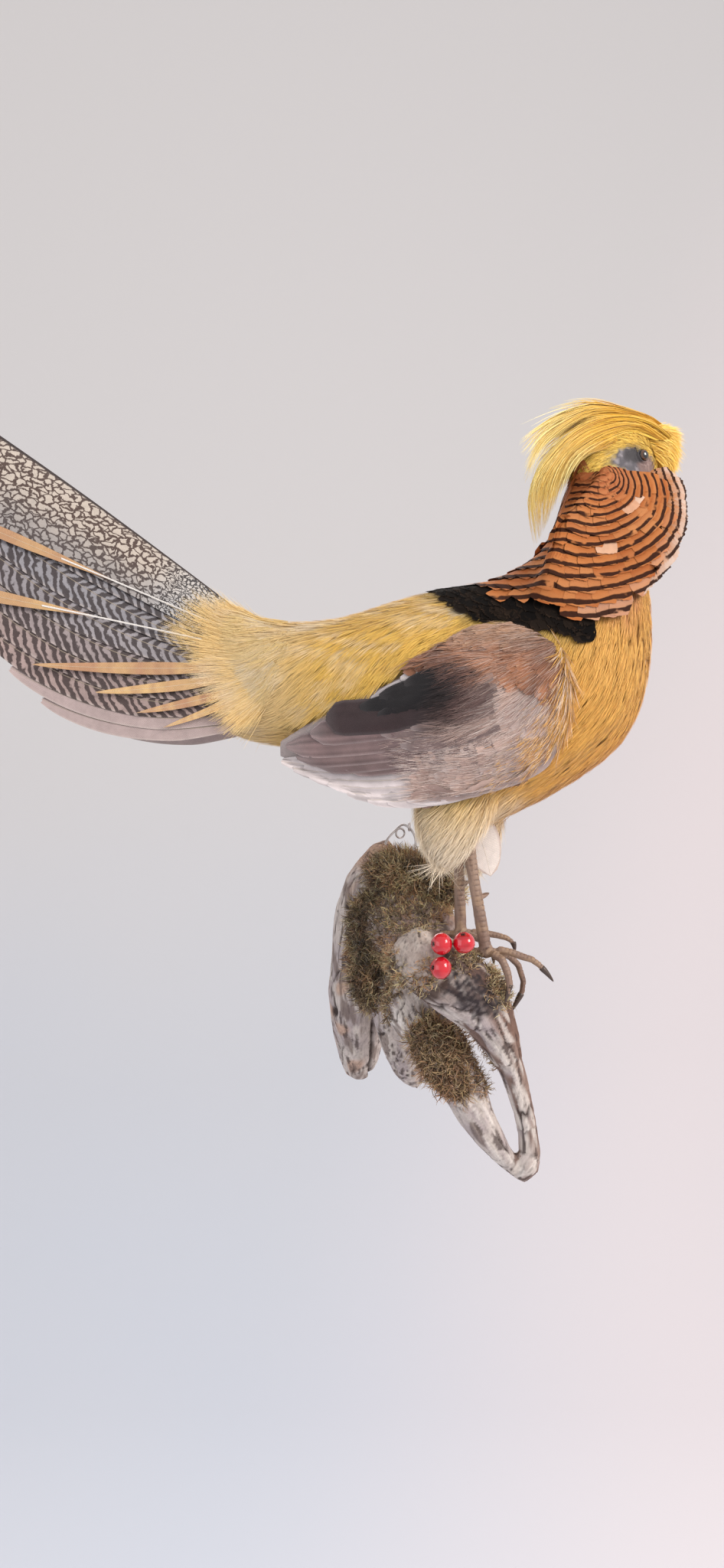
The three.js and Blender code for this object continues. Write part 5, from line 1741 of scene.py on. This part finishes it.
def mossThreads(name, roots, outs, size):
    count = moss["threads"]
    roots, outs = np.repeat(roots, count, axis=0), np.repeat(outs, count, axis=0)
    n = len(roots)
    s = np.linspace(0, 1, 5)[None, :, None]
    aim = unit(outs * 0.5 + dice.normal(0, 0.75, (n, 3)) + [0, -0.1, 0.1])[:, None]
    length = moss["length"] * size * dice.uniform(0.35, 1.15, (n, 1, 1))
    u = unit(np.cross(aim, dice.normal(size=(n, 1, 3))))
    v = np.cross(aim, u)
    turn = (
        dice.uniform(0, 6.3, (n, 1, 1)) + s * dice.uniform(2, 8, (n, 1, 1)) * dice.choice([-1, 1], (n, 1, 1))
    )
    curl = dice.uniform(0.8, 2.6, (n, 1, 1)) * size * s
    lines = (
        roots[:, None] - outs[:, None] * 0.9 + aim * length * s + (u * np.cos(turn) + v * np.sin(turn)) * curl
    )
    flat = unit(np.cross(unit(np.gradient(lines, axis=1)), dice.normal(size=(n, 1, 3))))
    half = (moss["width"] * dice.uniform(0.6, 1.2, (n, 1, 1)) * np.sqrt(1.02 - s)) / 2
    grid = np.stack([lines - flat * half, lines + flat * half], 2)
    tone = layered(
        blend(linear(186, 164, 112), linear(232, 214, 168), dice.uniform(0, 1, n) ** 1.3),
        ((196, 148, 110), 0.8 * (dice.uniform(0, 1, n) < 0.32)),
        ((84, 64, 48), 0.85 * rise(waves(roots, 11, 53), -0.1, 0.5)),
        ((184, 134, 96), 0.6 * rise(waves(roots, 24, 59), 0.1, 0.9)),
        # painted shade: the moss darkens toward the slab on the left, in the gap between them
        ((72, 54, 42), 0.7 * rise(roots[:, 0], 12, 0) * rise(waves(roots, 15, 66), -0.6, 0.3)),
        ((150, 108, 78), 0.5 * rise(roots[:, 2], -10, -40)),
    )
    tone = tone[:, None] * (0.6 + 0.5 * s)
    threads = Plumage()
    patch = (
        np.column_stack([roots[:, 0] + 0.6 * roots[:, 1] + 160, roots[:, 2] + 0.3 * roots[:, 1] + 190]) / 420
    )
    threads.add(grid, tone, np.clip(patch, 0.01, 0.99), 0.003, dice.uniform(0, 1, n))
    threads.build(name, plume, "moss")


mossThreads("moss_threads", *mossGround.spread(mossGround.normals[:, 1] < 0.75, moss["spacing"]), 1.0)
bark = woodGround.places
x, y, z = bark.T
top = 47 - 13 * rise(y, -162, -146) + 0.015 * (x - 20) ** 2 + 2 * waves(bark, 9, 56)
tuft = (blot(bark, 29, 20, 0.75, 1, 2, 7, 54) < 11) & (y < -170)
tuft |= (z > top) & (x > -8) & (x < 66) & (y < -36)
tuft |= (blot(bark, 66, -40, 1, 1.8, 2.5, 8, 57) < 14) & (y > -154) & (z > -72) & (x < 79)
tuft |= (blot(bark, 2, 10, 1, 2.6, 2.5, 8, 58) < 13) & (y < -24)
tuft |= (blot(bark, 56, 30, 1.2, 1, 3, 8, 68) < 8) & (y < -165)
husk = (blot(bark, 78, 12, 1, 1.5, 2, 7, 55) < 9) & (y < -130)
for name, wanted, spacing, size in (("moss_tufts", tuft, 2.3, 0.7), ("moss_husk", husk, 2.0, 0.8)):
    mossThreads(name, *woodGround.spread(wanted, spacing), size)
print("moss")


# berries, each with its dried calyx and a short stem
berries = {"places": [[39, -197, 41], [53, -195, 41.5], [38.5, -199, 26.5]], "radius": 6.9,
           "calyx": [[-0.85, -0.4, 0.05], [-0.15, -0.35, 0.9], [-0.85, -0.4, 0.1]]}
skinRed = Finish(
    "skinRed", {"Roughness": 0.16, "Coat Weight": 0.9, "Coat Roughness": 0.06, "Subsurface Weight": 0.06},
)
mottle = skinRed.noise(skinRed.spot(), 180, 2)
skinRed.feed("Base Color", skinRed.shaded(skinRed.stored("tint"), 0.85 + mottle * 0.3))
stems = Plumage()
for k, (place, calyx) in enumerate(zip(berries["places"], berries["calyx"])):
    place, calyx = np.array(place, float), unit(np.array(calyx))
    piece = ball(f"berry_{k + 1}_skin", place, berries["radius"])
    own = placesOf(piece) - place
    facing = unit(own) @ calyx
    dent = 0.9 * rise(facing, 0.90, 1.0) + 0.5 * rise(-facing, 0.93, 1.0)
    squash = own * (1 - 0.05 * np.abs(facing)[:, None]) * (1 + 0.012 * waves(own, 7, 60 + k))[:, None]
    setPlaces(piece, place + squash - unit(own) * dent[:, None])
    tint = blend(linear(200, 16, 34), linear(168, 8, 26), rise(waves(own, 9, 70 + k), 0, 1))
    setTint(piece, blend(tint, linear(60, 24, 22), rise(facing, 0.955, 0.985)))
    settled(piece, skinRed.material, "berry", f"berry_{k + 1}")
    u = unit(np.cross(calyx, [0.2, 0.3, 0.9]))
    v = np.cross(calyx, u)
    for a in np.arange(5) * 1.2566:
        side = u * np.cos(a) + v * np.sin(a)
        s = np.linspace(0, 1, 5)[:, None]
        line = place + calyx * (berries["radius"] * 0.84 + 1.3 * s) + side * (0.3 + 1.5 * s**0.7)
        stems.add(
            swept(line[None], 0.42 * (1.05 - s[None, :, 0]), 5), linear(58, 38, 32),
            np.array([[0.2 + 0.2 * k, 0.5]]), 0.05,
        )
    s = np.linspace(0, 1, 9)[:, None]
    line = (
        place - calyx * (berries["radius"] * 0.85) + s * (-calyx * 3 + [1.5, 9, -3])
        + np.sin(s * 3) * [0.8, 0, 0.6]
    )
    stems.add(swept(line[None], 0.5, 6), linear(112, 92, 58), np.array([[0.2 + 0.2 * k, 0.8]]), 0.05)
stems.build("berry_stems", keratin.material, "wood", welded=True)

# hanging wire with its ring
wire = {
    "path": [
        [6, -26, 84], [9, -24, 96], [16, -20, 104], [22, -18, 108], [28, -22, 104], [31, -30, 96],
        [28, -42, 84],
    ],
}
metal = Finish("metal", {"Metallic": 0.7, "Roughness": 0.28})
dull = metal.noise(metal.spot(), 300, 3)
metal.feed("Base Color", metal.mixed(dull, linear(214, 208, 206), linear(170, 162, 160)))
metal.feed("Roughness", 0.2 + dull * 0.3)
links = Plumage()
t = np.linspace(0, 1, 60)
line = along(wire["path"], t)
links.add(swept(line[None], 0.95, 10), linear(190, 185, 185), np.array([[0.5, 0.3]]), (0.9, 0.2))
for (x, y, z), size, lean in (((19.5, -19.5, 101.5), 3.6, 0.4), ((26.5, -21, 106.5), 3.0, 1.4)):
    a = np.linspace(-0.25, 2 * np.pi + 0.25, 37)
    ring = np.stack([np.cos(a) * math.cos(lean), np.cos(a) * math.sin(lean), np.sin(a)], -1) * size
    links.add(
        swept((ring + [x, y, z])[None], 0.8, 10), linear(190, 185, 185), np.array([[0.5, 0.7]]), (0.9, 0.2),
    )
links.build("hanger_wire", metal.material, "wire", "hanger", welded=True)
print("berries and wire")
